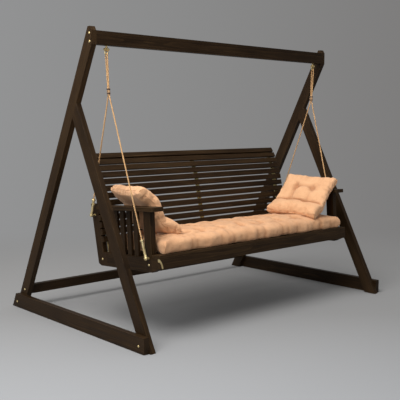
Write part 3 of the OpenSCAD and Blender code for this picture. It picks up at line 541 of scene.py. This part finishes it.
# Millimetres in the rope's leaning plane: y along the bench, z up from the shackle's bow
ROPE_AT = (1067.0, HINGE_Y, HINGE_Z - 34.0)        # the bow's middle, in the part's frame
ROPE_LEAN = math.atan2(66.5, 1334.07)
FRONT_HOOK = np.array([-319.11, -1335.73])         # the middles of the ferrules' round ends
REAR_HOOK = np.array([295.57, -1103.54])
ROPE_FROM_HOOK = 19.5                              # inside the ferrule
STRAND_HALF = 5.4                                  # from the middle to each doubled part
FORK_Z, LOOP_Z = -266.0, -215.0                    # between them the parts are parallel
BOW_R, LOOP_LONG = 9.65, 217.0
BOW_TURN = math.degrees(math.atan2(BOW_R - STRAND_HALF, LOOP_LONG))
STRAND_R, STRAND_OFF, LAY = 2.32, 2.68, 35.0       # LAY: one full turn of a strand
STRAND_SIDES, STRAND_LONGER = 8, 1.11              # STRAND_LONGER: over its rope's length
PATH_STEP, BOW_POINTS = 3.4, 41


def in_rope_plane(points, side):
    """(across, y, z) in the rope's plane, in mm, as metres in the part's frame."""
    x, y, z = np.asarray(points, float).T
    c, s = math.cos(ROPE_LEAN), math.sin(ROPE_LEAN)
    out = np.stack([x * c + z * s + ROPE_AT[0], y + ROPE_AT[1],
                    z * c - x * s + ROPE_AT[2]], 1) * MM
    out[:, 0] *= side
    return out


def rope_route():
    """The rope's middle line, eased at its corners, and the distance along it."""
    def start(hook, fork):
        return hook + (fork - hook) / np.linalg.norm(fork - hook) * ROPE_FROM_HOOK

    left, right = np.array([-STRAND_HALF, FORK_Z]), np.array([STRAND_HALF, FORK_Z])
    bow = [BOW_R * np.array([-math.cos(math.radians(a)), math.sin(math.radians(a))])
           for a in np.linspace(-BOW_TURN, 180 + BOW_TURN, BOW_POINTS)]
    corners = np.array([start(FRONT_HOOK, left), left, (-STRAND_HALF, LOOP_Z), *bow,
                        (STRAND_HALF, LOOP_Z), right, start(REAR_HOOK, right)])
    run = run_of(corners)
    at = np.linspace(0, run[-1], int(run[-1] / PATH_STEP))
    path = np.stack([np.interp(at, run, corners[:, k]) for k in (0, 1)], 1)
    for _ in range(3):
        path[1:-1] = (path[:-2] + 2 * path[1:-1] + path[2:]) / 4
    return path, at


def rope_mesh(side):
    path, at = rope_route()
    n = len(path)
    along = np.column_stack([np.zeros(n), unit_rows(np.gradient(path, axis=0))])
    across = np.tile([1.0, 0, 0], (n, 1))
    third = np.cross(along, across)
    middle = np.column_stack([np.zeros(n), path])
    sides = np.arange(STRAND_SIDES) * math.tau / STRAND_SIDES
    strands, lay = [], []
    for k in range(3):
        turn = math.tau * (at / LAY + k / 3)
        out = np.cos(turn)[:, None] * across + np.sin(turn)[:, None] * third
        line = middle + STRAND_OFF * out
        beside = np.cross(unit_rows(np.gradient(line, axis=0)), out)
        p, f = skin(circles(line, out, beside, STRAND_R, STRAND_SIDES))
        strands.append((in_rope_plane(p, side), f))
        lay.append(np.column_stack([np.repeat(at, STRAND_SIDES) * MM * STRAND_LONGER,
                                    np.tile(sides, n) * STRAND_R * MM,
                                    np.full(n * STRAND_SIDES, k + 5.0 * side)]))
    points, faces = joined(strands)
    if side < 0:                                   # mirroring turned them inside out
        faces = [face[::-1] for face in faces]
    mesh = make_mesh("rope", points, faces)
    add_attribute(mesh, "lay", "FLOAT_VECTOR", np.concatenate(lay))
    return outward(mesh)


def sleeve(z0, z1, inner, outer, pitch, depth):
    """Twine wound round both strands from z0 to z1: one ridge for each turn."""
    arc = [(math.cos(math.radians(a)), math.sin(math.radians(a)), 1)
           for a in np.linspace(-90, 90, 14)]
    arc += [(-c, -s, -1) for c, s, _ in arc]

    def ring(r, z):
        return [(r * s, STRAND_HALF * end + r * c, z) for c, s, end in arc]

    turns = round((z1 - z0) / pitch)
    zs = np.linspace(z0, z1, turns * 6 + 1)
    ridges = np.abs(np.sin(math.pi * turns * (zs - z0) / (z1 - z0))) ** 0.6
    rows = [ring(outer - depth * (1 - ridge), z) for ridge, z in zip(ridges, zs)]
    rows += [ring(inner, z1), ring(inner, z0)]
    return skin(np.array(rows), wrap=True)


for side, name in ((-1, "left_rope"), (1, "right_rope")):
    stand_in(name, "_laid", rope_mesh(side), ROPE)

# Each row: node, slot, the heights it covers, inner and outer radius, pitch, ridge depth
for name, slot, runs, inner, outer, pitch, depth, material in (
        ("whippings", "rope", [(-263, -217)], 5.15, 8.15, 1.6, 0.5, TWINE),
        ("whipping_bands", "band", [(-231, -222), (-258, -249)], 8.0, 9.35, 1.0, 0.3, BAND)):
    made = []
    for side in (-1, 1):
        for z0, z1 in runs:
            p, f = sleeve(z0, z1, inner, outer, pitch, depth)
            made.append((in_rope_plane(p, side), f))
    mesh = outward(make_mesh(name + "_wound", *joined(made)))
    stand_in(name, "_wound", mesh, material)

# ---- cushion and pillows ------------------------------------------------------------

# Millimetres in the bench's own frame, which hangs turned by BENCH_TILT from the hinge
SEAT_Z, SIDE_X = -1361.0, 940.0                    # seat boards' top, side frames' inside
ARM_X, ARM_Y, ARM_Z = (908, 1006), (-333, 313), (-1077, -1049)
BACK_Y = 267.6                                     # the back's face at the seat boards
SEAT_GAP, SIDE_GAP, BACK_GAP, ARM_GAP, CUSHION_GAP = 0.4, 1.2, 1.5, 1.6, 0.8
TUFT_PITCH = 205.0
BY_THE_CUSHION = 135.0                             # a pillow's points below this can touch it
CLOTH_FRAMES, CLOTH_PRESSURE, FARTHEST = 20, 4.0, 7.0
HOLLOW_DEEP = 0.55                                 # a hollow this deep gets the full painted shade


def to_part(points):
    """Bench millimetres to metres in the part's frame."""
    x, y, z = np.asarray(points, float).T
    c, s = math.cos(BENCH_TILT), math.sin(BENCH_TILT)
    return np.stack([x, y * c + z * s + HINGE_Y, z * c - y * s + HINGE_Z], 1) * MM


def shoulder(d, r, square):
    """0 at the edge, 1 from r inwards. The higher square is, the boxier the edge."""
    return (1 - (1 - np.clip(d / r, 0, 1)) ** square) ** (1 / square)


def lump(d, w):
    return np.exp(-d * d / (2 * w * w))


def between(x, a, b, soft=0.05):
    return 0.5 * (np.tanh((x - a) / soft) - np.tanh((x - b) / soft))


def pleats(dx, dy, reach, count, phase):
    """Small folds that run out from a tuft."""
    r = np.hypot(dx, dy)
    return lump(r - 0.5 * reach, 0.25 * reach) * np.cos(count * np.arctan2(dy, dx) + phase)


def stations(half, r, step):
    """Places from -half to half, closer together in the last r at each end."""
    edge = [r * (k / 9) ** 3 for k in range(9)]
    inner = np.linspace(-(half - r), half - r, round(2 * (half - r) / step) + 1)
    return np.array([-half + d for d in edge] + list(inner) + [half - d for d in edge[::-1]])


def two_sheets(front, behind):
    """A closed grid of two sheets that share their rim: points, quads, the rim's points."""
    n, m = front.shape[:2]
    first = np.arange(n * m).reshape(n, m)
    second = first.copy()
    second[1:-1, 1:-1] = n * m + np.arange((n - 2) * (m - 2)).reshape(n - 2, m - 2)
    points = np.concatenate([front.reshape(-1, 3), behind[1:-1, 1:-1].reshape(-1, 3)])
    quads = []
    for i in range(n - 1):
        for j in range(m - 1):
            quads.append((first[i, j], first[i + 1, j], first[i + 1, j + 1], first[i, j + 1]))
            quads.append((second[i, j + 1], second[i + 1, j + 1], second[i + 1, j],
                          second[i, j]))
    rim = [*first[:, 0], *first[-1, 1:], *first[-2::-1, -1], *first[0, -2:0:-1]]
    return points, [tuple(int(v) for v in q) for q in quads], rim


def spread(a, b):
    """One value for each point of two_sheets, from the two sheets' grids."""
    return np.concatenate([a.ravel(), b[1:-1, 1:-1].ravel()])


def cloth_places(run_x, run_y, start=0):
    """Where each point of two_sheets is in the flat cloth, in millimetres."""
    x, y = np.meshgrid(run_x, run_y, indexing="ij")
    level = np.full(x.shape, float(start))
    return np.stack([spread(x, x), spread(y, -y), spread(level, level + 900)], 1)


def normals_of(points, quads):
    q = np.array(quads)
    face = np.cross(points[q[:, 2]] - points[q[:, 0]], points[q[:, 3]] - points[q[:, 1]])
    total = np.zeros_like(points)
    for k in range(4):
        np.add.at(total, q[:, k], face)
    return unit_rows(total)


def roughen(points, quads, seed, steps):
    """Soft uneven filling: low noise along the normals, each step (size, height) in mm."""
    out = np.zeros(len(points))
    for size, height in steps:
        out += height * np.array([perlin.noise(Vector(p) / size + Vector((seed, 0, 0)))
                                  for p in points])
    return points + out[:, None] * normals_of(points, quads)


def fill(points, quads, held, slack):
    """Blender's cloth with air pressed into it. held: how firmly each point is tied."""
    ob = add_object("filling", make_mesh("filling", points * MM, quads))
    group = ob.vertex_groups.new(name="held")
    for k in np.nonzero(held > 0.02)[0]:
        group.add([int(k)], float(held[k]), "REPLACE")
    cloth = ob.modifiers.new("filling", "CLOTH")
    s = cloth.settings
    s.quality, s.mass, s.air_damping = 6, 0.25, 1.0
    s.tension_stiffness = s.compression_stiffness = 18
    s.shear_stiffness, s.bending_stiffness = 8, 0.35
    s.use_pressure, s.uniform_pressure_force = True, CLOTH_PRESSURE
    s.shrink_min = s.shrink_max = -slack
    s.effector_weights.gravity = 0
    s.vertex_group_mass = "held"
    cloth.collision_settings.use_self_collision = False
    cloth.point_cache.frame_start, cloth.point_cache.frame_end = 1, CLOTH_FRAMES
    scene = bpy.context.scene
    for f in range(1, CLOTH_FRAMES + 1):
        scene.frame_set(f)
    filled = ob.evaluated_get(bpy.context.evaluated_depsgraph_get())
    moved = points_of(filled.to_mesh()) / MM - points
    filled.to_mesh_clear()
    bpy.data.objects.remove(ob)
    scene.frame_set(1)
    far = np.linalg.norm(moved, axis=1)
    moved *= (FARTHEST * np.tanh(far / FARTHEST) / np.maximum(far, 1e-9))[:, None]
    return points + moved


def finer(mesh):
    """One level of subdivision, applied."""
    ob = add_object("finer", mesh)
    ob.modifiers.new("finer", "SUBSURF").levels = 1
    depsgraph = bpy.context.evaluated_depsgraph_get()
    out = bpy.data.meshes.new_from_object(ob.evaluated_get(depsgraph))
    bpy.data.objects.remove(ob)
    return out


def clear_of_bench(p):
    """Keeps points off the seat boards, the side frames, the back boards and the arms."""
    p = p.copy()
    p[:, 2] = np.maximum(p[:, 2], SEAT_Z + SEAT_GAP)
    low = p[:, 2] < ARM_Z[1] + 1.5
    p[low, 0] = np.clip(p[low, 0], -(SIDE_X - SIDE_GAP), SIDE_X - SIDE_GAP)
    face = BACK_Y + (p[:, 2] - SEAT_Z) * math.tan(BACK_LEAN) - BACK_GAP
    p[:, 1] = np.minimum(p[:, 1], face)
    inner, under, top = ARM_X[0] - ARM_GAP, ARM_Z[0] - ARM_GAP, ARM_Z[1] + ARM_GAP
    for sign in (-1, 1):
        deep = np.stack([p[:, 0] * sign - inner, top - p[:, 2], p[:, 2] - under])
        inside = ((deep > 0).all(0) & (p[:, 1] > ARM_Y[0] - ARM_GAP)
                  & (p[:, 1] < ARM_Y[1] + ARM_GAP))
        least = deep.argmin(0)
        p[inside & (least == 0), 0] = sign * inner
        p[inside & (least == 1), 2] = top
        p[inside & (least == 2), 2] = under
    return p


def off_the_cushion(p, tree):
    """Lays a pillow's points on the cushion wherever they would sink into it."""
    p = p.copy()
    for k in np.nonzero(p[:, 2] < SEAT_Z + BY_THE_CUSHION)[0]:
        at = Vector(p[k])
        near, normal, _, _ = tree.find_nearest(at, 60)
        if near is not None:
            away = (at - near).dot(normal)
            if away < CUSHION_GAP:
                p[k] = np.array(at + normal * (CUSHION_GAP - away))
    return p


def tube(loop, radius):
    """A closed cord round a loop of points."""
    along = unit_rows(np.roll(loop, -1, 0) - np.roll(loop, 1, 0))
    up = unit_rows(np.cross(along, loop - loop.mean(0)))
    return skin(circles(loop, up, np.cross(along, up), radius, 8), wrap=True)


def hollows(points, quads):
    """How far each point lies below the middle of its neighbours, from 0 to 1."""
    q = np.array(quads)
    total, count = np.zeros_like(points), np.zeros(len(points))
    for k in range(4):
        for j in ((k + 1) % 4, (k + 3) % 4):
            np.add.at(total, q[:, k], points[q[:, j]])
            np.add.at(count, q[:, k], 1)
    away = total / count[:, None] - points
    out = (away * normals_of(points, quads)).sum(1)
    for _ in range(2):
        total = np.zeros_like(out)
        for k in range(4):
            np.add.at(total, q[:, k], out[q[:, (k + 1) % 4]] + out[q[:, (k + 3) % 4]])
        out = 0.5 * out + 0.5 * total / count
    return np.clip(out / HOLLOW_DEEP, 0, 1)


def padded_piece(node, points, quads, cloth, crease, extras, keep_clear):
    """The finished cover. extras: (points, faces, painted shade) of its cords and ties."""
    mesh = make_mesh(node + "_cover", points, quads)
    add_attribute(mesh, "cloth", "FLOAT_VECTOR", cloth * MM)
    # painted shade for the canvas, kept as a point attribute
    add_attribute(mesh, "crease", "FLOAT", np.clip(crease, 0, 1))
    mesh = finer(mesh)
    final = keep_clear(points_of(mesh))
    mesh.vertices.foreach_set("co", to_part(final).astype(np.float32).ravel())
    mesh.shade_smooth()
    bm = bmesh.new()
    bm.from_mesh(mesh)
    place, dark = bm.verts.layers.float_vector["cloth"], bm.verts.layers.float["crease"]
    for p, faces, grade in extras:
        new = [bm.verts.new(v) for v in to_part(keep_clear(p))]
        for v, at in zip(new, p):
            v[place], v[dark] = Vector(at) * MM, grade
        for face in faces:
            bm.faces.new([new[k] for k in face]).smooth = True
    bmesh.ops.recalc_face_normals(bm, faces=bm.faces)
    bm.to_mesh(mesh)
    bm.free()
    stand_in(node, "_cover", mesh, CANVAS)
    return final, mesh


def knot(at, normal, size):
    """A flat stitched tie in the bottom of a tuft."""
    z = Vector(normal).normalized()
    x = z.orthogonal().normalized()
    y = z.cross(x)
    rows = []
    for k in range(1, 8):
        a = math.pi * k / 8
        r, h = size * math.sin(a), 0.42 * size * math.cos(a)
        rows.append([np.array(Vector(at) + z * h + (x * math.cos(b) + y * math.sin(b)) * r)
                     for b in (math.tau * q / 10 for q in range(10))])
    return skin(np.array(rows))


def cushion():
    """One long pad: nine main tufts in its middle row, smaller ones between them."""
    half_w, y0, y1 = 929.0, -350.0, 263.6
    half_d, mid_y, thick = (y1 - y0) / 2, (y0 + y1) / 2, 50
    small_y = 165                                  # the smaller tufts' rows
    xs, ys = stations(half_w, 34.0, 12), stations(half_d, 34.0, 12)
    x, y = np.meshgrid(xs, ys, indexing="ij")
    from_end, from_side = half_w - abs(x), half_d - abs(y)
    row = np.round(x / TUFT_PITCH)
    dx = x - TUFT_PITCH * row
    ex = x - TUFT_PITCH * (np.floor(x / TUFT_PITCH) + 0.5)
    over = shoulder(from_end, 30, 3.8) * shoulder(from_side, 58 - 28 * lump(from_end, 70), 2.8)
    under = shoulder(from_end, 34, 3.2) * shoulder(from_side, 44, 2.5)
    tuft = lump(np.hypot(dx, y), 26)
    small = lump(np.hypot(ex, abs(y) - small_y), 24)
    seam = lump(dx, 20) * lump(y, 60) + 0.8 * lump(ex, 18) * lump(abs(y) - 190, 55)

    rng = np.random.default_rng(7)
    gather = np.zeros_like(x)
    for _ in range(44):
        at, side = rng.uniform(-half_w + 30, half_w - 30), rng.choice([-1, 1])
        deep, slant = rng.uniform(0.25, 1), rng.uniform(-1, 1)
        wide, reach = rng.uniform(6, 13), rng.uniform(34, 70)
        gather += (deep * lump(x - at - 0.1 * from_side * slant, wide)
                   * lump(np.maximum(from_side, 0), reach) * (y * side > 0))
    fold = sum(rng.uniform(0.4, 1) * lump(y - at, 10)
               for at in (-215, -120, -30, 70, 180)) * lump(from_end, 60)
    pleat = (pleats(dx, y, 66, 9, 1.3 * row)
             + 0.8 * pleats(ex, abs(y) - small_y, 60, 8, 2.1 * row)) * (abs(x) < half_w - 30)

    crown = (33 * (1 - (x / half_w) ** 8)
             * (1 - np.clip(abs(y - 30) / (half_d + 30), 0, 1) ** 3.2))
    top = 46 + crown - 32 * tuft - 20 * small - 7 * seam + 3.4 * pleat
    pull_y = 8 * (0.5 + 0.5 * np.cos(math.tau * x / TUFT_PITCH))
    pull_x = 8 * (1 - (y / half_d) ** 2)
    px = x - np.sign(x) * pull_x * (x / half_w) ** 2
    py = mid_y + y - np.sign(y) * pull_y * (y / half_d) ** 2
    level = SEAT_Z + SEAT_GAP + thick
    upper = np.stack([px, py, level + over * top], -1)
    lower = np.stack([px, py, level - under * thick], -1)

    points, quads, _ = two_sheets(upper, lower)
    pinch = spread(gather + fold, gather + fold)
    points -= normals_of(points, quads) * (3.6 * np.clip(pinch, 0, 1.3) + 1.0)[:, None]
    held = spread(lump(np.hypot(dx, y), 9) + lump(np.hypot(ex, abs(y) - small_y), 7), 0 * x)
    points = fill(points, quads, np.clip(held, 0, 1), 0.035)
    points = roughen(clear_of_bench(points), quads, 3.0, ((95, 5.5), (44, 4.0), (20, 1.3)))
    cloth = cloth_places(run_of(upper[:, len(ys) // 2]), run_of(upper[len(xs) // 2]))
    # Painted shade: darker in the tufts, seams, gathers, folds and hollows; the 0.22 darkens
    # the whole cushion evenly.
    dip_shade = 1.1 * tuft + 0.6 * small + 0.2 * seam + 0.35 * (gather + fold)
    crease = 0.22 + spread(np.clip(dip_shade, 0, 1), np.clip(gather, 0, 1))
    crease += 0.8 * hollows(clear_of_bench(points), quads)
    ties = []
    for k in range(-4, 5):
        i, j = int(abs(xs - k * TUFT_PITCH).argmin()), int(abs(ys).argmin())
        # each tie is painted with the tuft hollow's shade
        ties.append((*knot(points[i * len(ys) + j] + (0, 0, 1.0), (0, 0, 1), 7), 0.9))
    return padded_piece("seat_cushion", clear_of_bench(points), quads, cloth, crease, ties,
                        clear_of_bench)


HALF, BEND_FROM = 225.0, 50.0                      # half a pillow; where its bend starts


def bent(k, angle):
    """A pillow's middle sheet, k from its centre line: offset, height and turn there."""
    t = np.clip(k / BEND_FROM - 1, 0, 1)
    r = BEND_FROM / angle
    rest = np.maximum(k - 2 * BEND_FROM, 0)
    return (r * (1 - np.cos(angle * t)) + rest * np.sin(angle * t),
            np.minimum(k, BEND_FROM) + r * np.sin(angle * t) + rest * np.cos(angle * t),
            angle * t)


def crease_lines(u, v, left, right, top, low):
    """The ring of creases between a pillow's four tufts, and the one across it below."""
    arch = 1 / 3 + 0.045 * (1 - (3 * u) ** 2) * (abs(u) < 1 / 3)
    sag = 0.02 * np.cos(9.4 * u)
    return np.maximum.reduce([
        left * lump(u + 1 / 3, 0.042) * between(v, -0.36, 0.5, 0.08),
        right * lump(u - 1 / 3, 0.042) * between(v, -0.36, 0.36),
        top * lump(v - arch, 0.042) * between(u, -0.36, 0.36),
        low * lump(v + 1 / 3 - sag, 0.05) * between(u, -0.93, 0.93, 0.08)])


def rim_gathers(u, v, seed):
    """Eight small gathers along each side of a pillow, weaker on the third side."""
    rng = np.random.default_rng(seed)
    from_rim = HALF * (1 - np.maximum(abs(u), abs(v)))
    around = np.where(abs(u) > abs(v), v, u) * HALF
    gather = np.zeros_like(u)
    for side in range(4):
        on = (((abs(u) > abs(v)) == (side < 2))
              & (np.where(side < 2, u, v) * (1 if side % 2 else -1) > 0))
        for _ in range(8):
            gather += (on * rng.uniform(0.3, 1) * (0.4 if side == 2 else 1)
                       * lump(around - rng.uniform(-190, 190), 8)
                       * lump(np.maximum(from_rim - 8, 0), 32))
    return gather


def pillow(node, at, turn, low, high, tree, seed, lines, longer):
    """turn: yaw, lean, roll. low, high: how far its two halves bend. All in degrees.
    lines: how deep its creases are, left, right, top and low. longer: mm added to its end."""
    s = np.sin(math.pi / 2 * np.linspace(-1, 1, 57))
    u, v = np.meshgrid(s, s, indexing="ij")
    h = v * (HALF - 5 * (1 - u * u) * v * v)
    back, down, tip = bent(abs(h), math.radians(low))
    ahead, up, nod = bent(abs(h), math.radians(high))
    below = h < 0
    m0, m1, m2 = (np.where(below, -back, ahead), np.where(below, -down, up),
                  np.where(below, tip, nod))
    body = shoulder(HALF * (1 - abs(u)), 40, 2.9) * shoulder(HALF * (1 - abs(v)), 40, 2.9)
    a, b = abs(u) - 1 / 3, abs(v) - 1 / 3
    tuft = lump(np.hypot(a, b), 0.085)
    line = crease_lines(u, v, *lines)
    pleat = pleats(a * HALF, b * HALF, 56, 7, seed + 2 * np.sign(u) + np.sign(v))
    gather = rim_gathers(u, v, seed)
    crown = (15 * (1 - u * u) * (1 - v * v) + 16 * lump(v + 0.70, 0.2) * (1 - u ** 4)
             + 8 * lump(np.hypot(u, v), 0.2))
    dip = 25 * tuft + 20 * line
    across = (u * (HALF - 5 * (1 - v * v) * u * u)
              + longer * np.clip(u, 0, 1) ** 1.5 * (0.6 + lump(v - 0.45, 0.35)))
    front, behind = (np.stack([across, m0 + th * np.cos(m2), m1 - th * np.sin(m2)], -1)
                     for th in (body * (dip - 41 - crown - 1.6 * pleat), body * (31 + crown)))

    points, quads, rim = two_sheets(front, behind)
    pinch = np.clip(spread(gather, gather), 0, 1.2)
    points -= normals_of(points, quads) * (1.0 + 2.4 * pinch)[:, None]
    held = spread(lump(np.hypot(a, b), 0.035), 0 * u)
    held[rim] = 0.5
    points = fill(points, quads, np.clip(held, 0, 1), 0.05)
    points = roughen(points, quads, seed * 3.1, ((90, 3.6), (36, 1.7), (16, 0.7)))
    yaw, lean, roll = (math.radians(k) for k in turn)
    rows = np.array(Matrix.Rotation(yaw, 3, "Z") @ Matrix.Rotation(roll, 3, "Y")
                    @ Matrix.Rotation(-lean, 3, "X"))

    def keep_clear(p):
        return off_the_cushion(clear_of_bench(p), tree)

    points = keep_clear(points @ rows.T + at)
    run = run_of(front[:, 28])
    cloth = cloth_places(run, run, 300 * seed)
    # Painted shade: darker in the tufts, crease lines, gathers and hollows.
    dark = np.clip(0.9 * tuft + 0.6 * line + 0.3 * gather, 0, 1)
    crease = spread(dark, np.clip(0.5 * gather, 0, 1)) + 0.3 * hollows(points, quads)
    extras = [(*tube(points[rim], 2.3), 0.15)]     # the piping
    face = rows @ np.array([0, -1.0, 0])
    for q in (-1, 1):
        for w in (-1, 1):
            i, j = (int(abs(s - k / 3).argmin()) for k in (q, w))
            # each tie is painted with the tuft hollow's shade
            extras.append((*knot(points[i * len(s) + j] + face, face, 6), 0.9))
    padded_piece(node, points, quads, cloth, crease, extras, keep_clear)


bed_points, bed_mesh = cushion()
bed = BVHTree.FromPolygons([tuple(p) for p in bed_points],
                           [tuple(f.vertices) for f in bed_mesh.polygons
                            if max(f.vertices) < len(bed_points)])
pillow("left_pillow", np.array([128.7 - SIDE_X, 198.1 - 200, ARM_Z[1] - 51.5]),
       (77.3, 16.4, -1.5), 52.7, 34.8, bed, 1, (0.6, 0.6, 0.5, 1.0), 42)
pillow("right_pillow", np.array([SIDE_X - 187.2, 96.9 - 200, ARM_Z[1] - 59.2]),
       (-80.2, 40.4, 6.2), 27.9, 6.1, bed, 2, (1.0, 0.35, 0.75, 1.15), 0)

# ---- floor and light ----------------------------------------------------------------

CAMERA_RIGHT = (math.cos(CAMERA_YAW), -math.sin(CAMERA_YAW), 0.0)
NEARER = (-0.669, -0.743)                          # level, from the object to the camera
# Painted light falloff: the floor's grey is lightest far behind, darkest in a band just in
# front of the object, and lighter and bluer again towards the camera.
FLOOR_GREYS = ((0.0, (0.40, 0.40, 0.405)), (0.5, (0.30, 0.301, 0.305)),
               (0.72, (0.262, 0.264, 0.269)), (1.0, (0.335, 0.348, 0.370)))
FAR, AROUND = (-0.9, -4.0), (4.5, 9.0)             # where floor turns to backdrop, metres
WORLD_LIGHT = 0.51


def studio_grey(t, direction):
    """The backdrop falls off from left to right as the camera sees it."""
    side = t.vmath("DOT_PRODUCT", t.vmath("NORMALIZE", direction), CAMERA_RIGHT, out=1)
    return t.ramp(t.levels(side, -0.27, 0.27),
                  (0.0, (0.288, 0.290, 0.293)),
                  (0.5, (0.250, 0.250, 0.250)),
                  (1.0, (0.208, 0.204, 0.202)))


def floor():
    """A floor that catches shadows near the object and fades into the backdrop."""
    mesh = bpy.data.meshes.new("floor")
    bm = bmesh.new()
    bmesh.ops.create_circle(bm, cap_ends=True, radius=45, segments=96)
    bm.to_mesh(mesh)
    bm.free()
    ob = add_object("floor", mesh)
    ob.location.z = -0.0005
    m, t = new_material("floor")
    at = t.coords()
    x, y, _ = t.split(at)
    near = t.total((x, NEARER[0]), (y, NEARER[1]))
    far = t.math("MAXIMUM", t.levels(near, *FAR, smooth=True),
                 t.levels(t.vmath("LENGTH", at, out=1), *AROUND, smooth=True))
    # painted light falloff in the floor's grey, under the lamps' real shadows
    lit = t("ShaderNodeBsdfDiffuse", Color=t.ramp(t.levels(near, -6.0, 3.0), *FLOOR_GREYS))
    seen = t.vmath("SUBTRACT", at, tuple(CAMERA_AT))
    glow = t("ShaderNodeEmission", Color=studio_grey(t, seen), Strength=1.0)
    t.surface(t("ShaderNodeMixShader", i0=far, i1=lit, i2=glow))
    mesh.materials.append(m)


def world():
    """The backdrop's grey for rays that see it, a soft even light for the rest."""
    w = bpy.data.worlds.new("studio")
    bpy.context.scene.world = w
    t = Tree(w)
    seen = t("ShaderNodeBackground", Color=studio_grey(t, t("ShaderNodeTexCoord", 0)),
             Strength=1.0)
    light = t("ShaderNodeBackground", Color=(1.0, 0.99, 0.97, 1), Strength=WORLD_LIGHT)
    path = t("ShaderNodeLightPath").node.outputs
    looks = t.math("MAXIMUM", t.math("MAXIMUM", path["Is Camera Ray"], path["Is Glossy Ray"]),
                   path["Is Transmission Ray"])
    t.surface(t("ShaderNodeMixShader", i0=looks, i1=light, i2=seen), "ShaderNodeOutputWorld")


def area(name, at, to, size, watts, colour):
    data = bpy.data.lights.new(name, "AREA")
    data.shape, data.size, data.energy, data.color = "DISK", size, watts, colour
    ob = add_object(name, data)
    ob.location = at
    ob.rotation_euler = (Vector(to) - Vector(at)).to_track_quat("-Z", "Y").to_euler()


floor()
world()
area("key", (-2.3, -1.0, 4.6), (0.1, -0.1, 0.3), 3.6, 245, (1.0, 0.98, 0.95))
area("fill", (-5.4, -1.2, 2.6), (0.2, 0.0, 0.7), 2.4, 70, (1.0, 0.99, 0.98))

bpy.context.scene.view_settings.view_transform = "Standard"
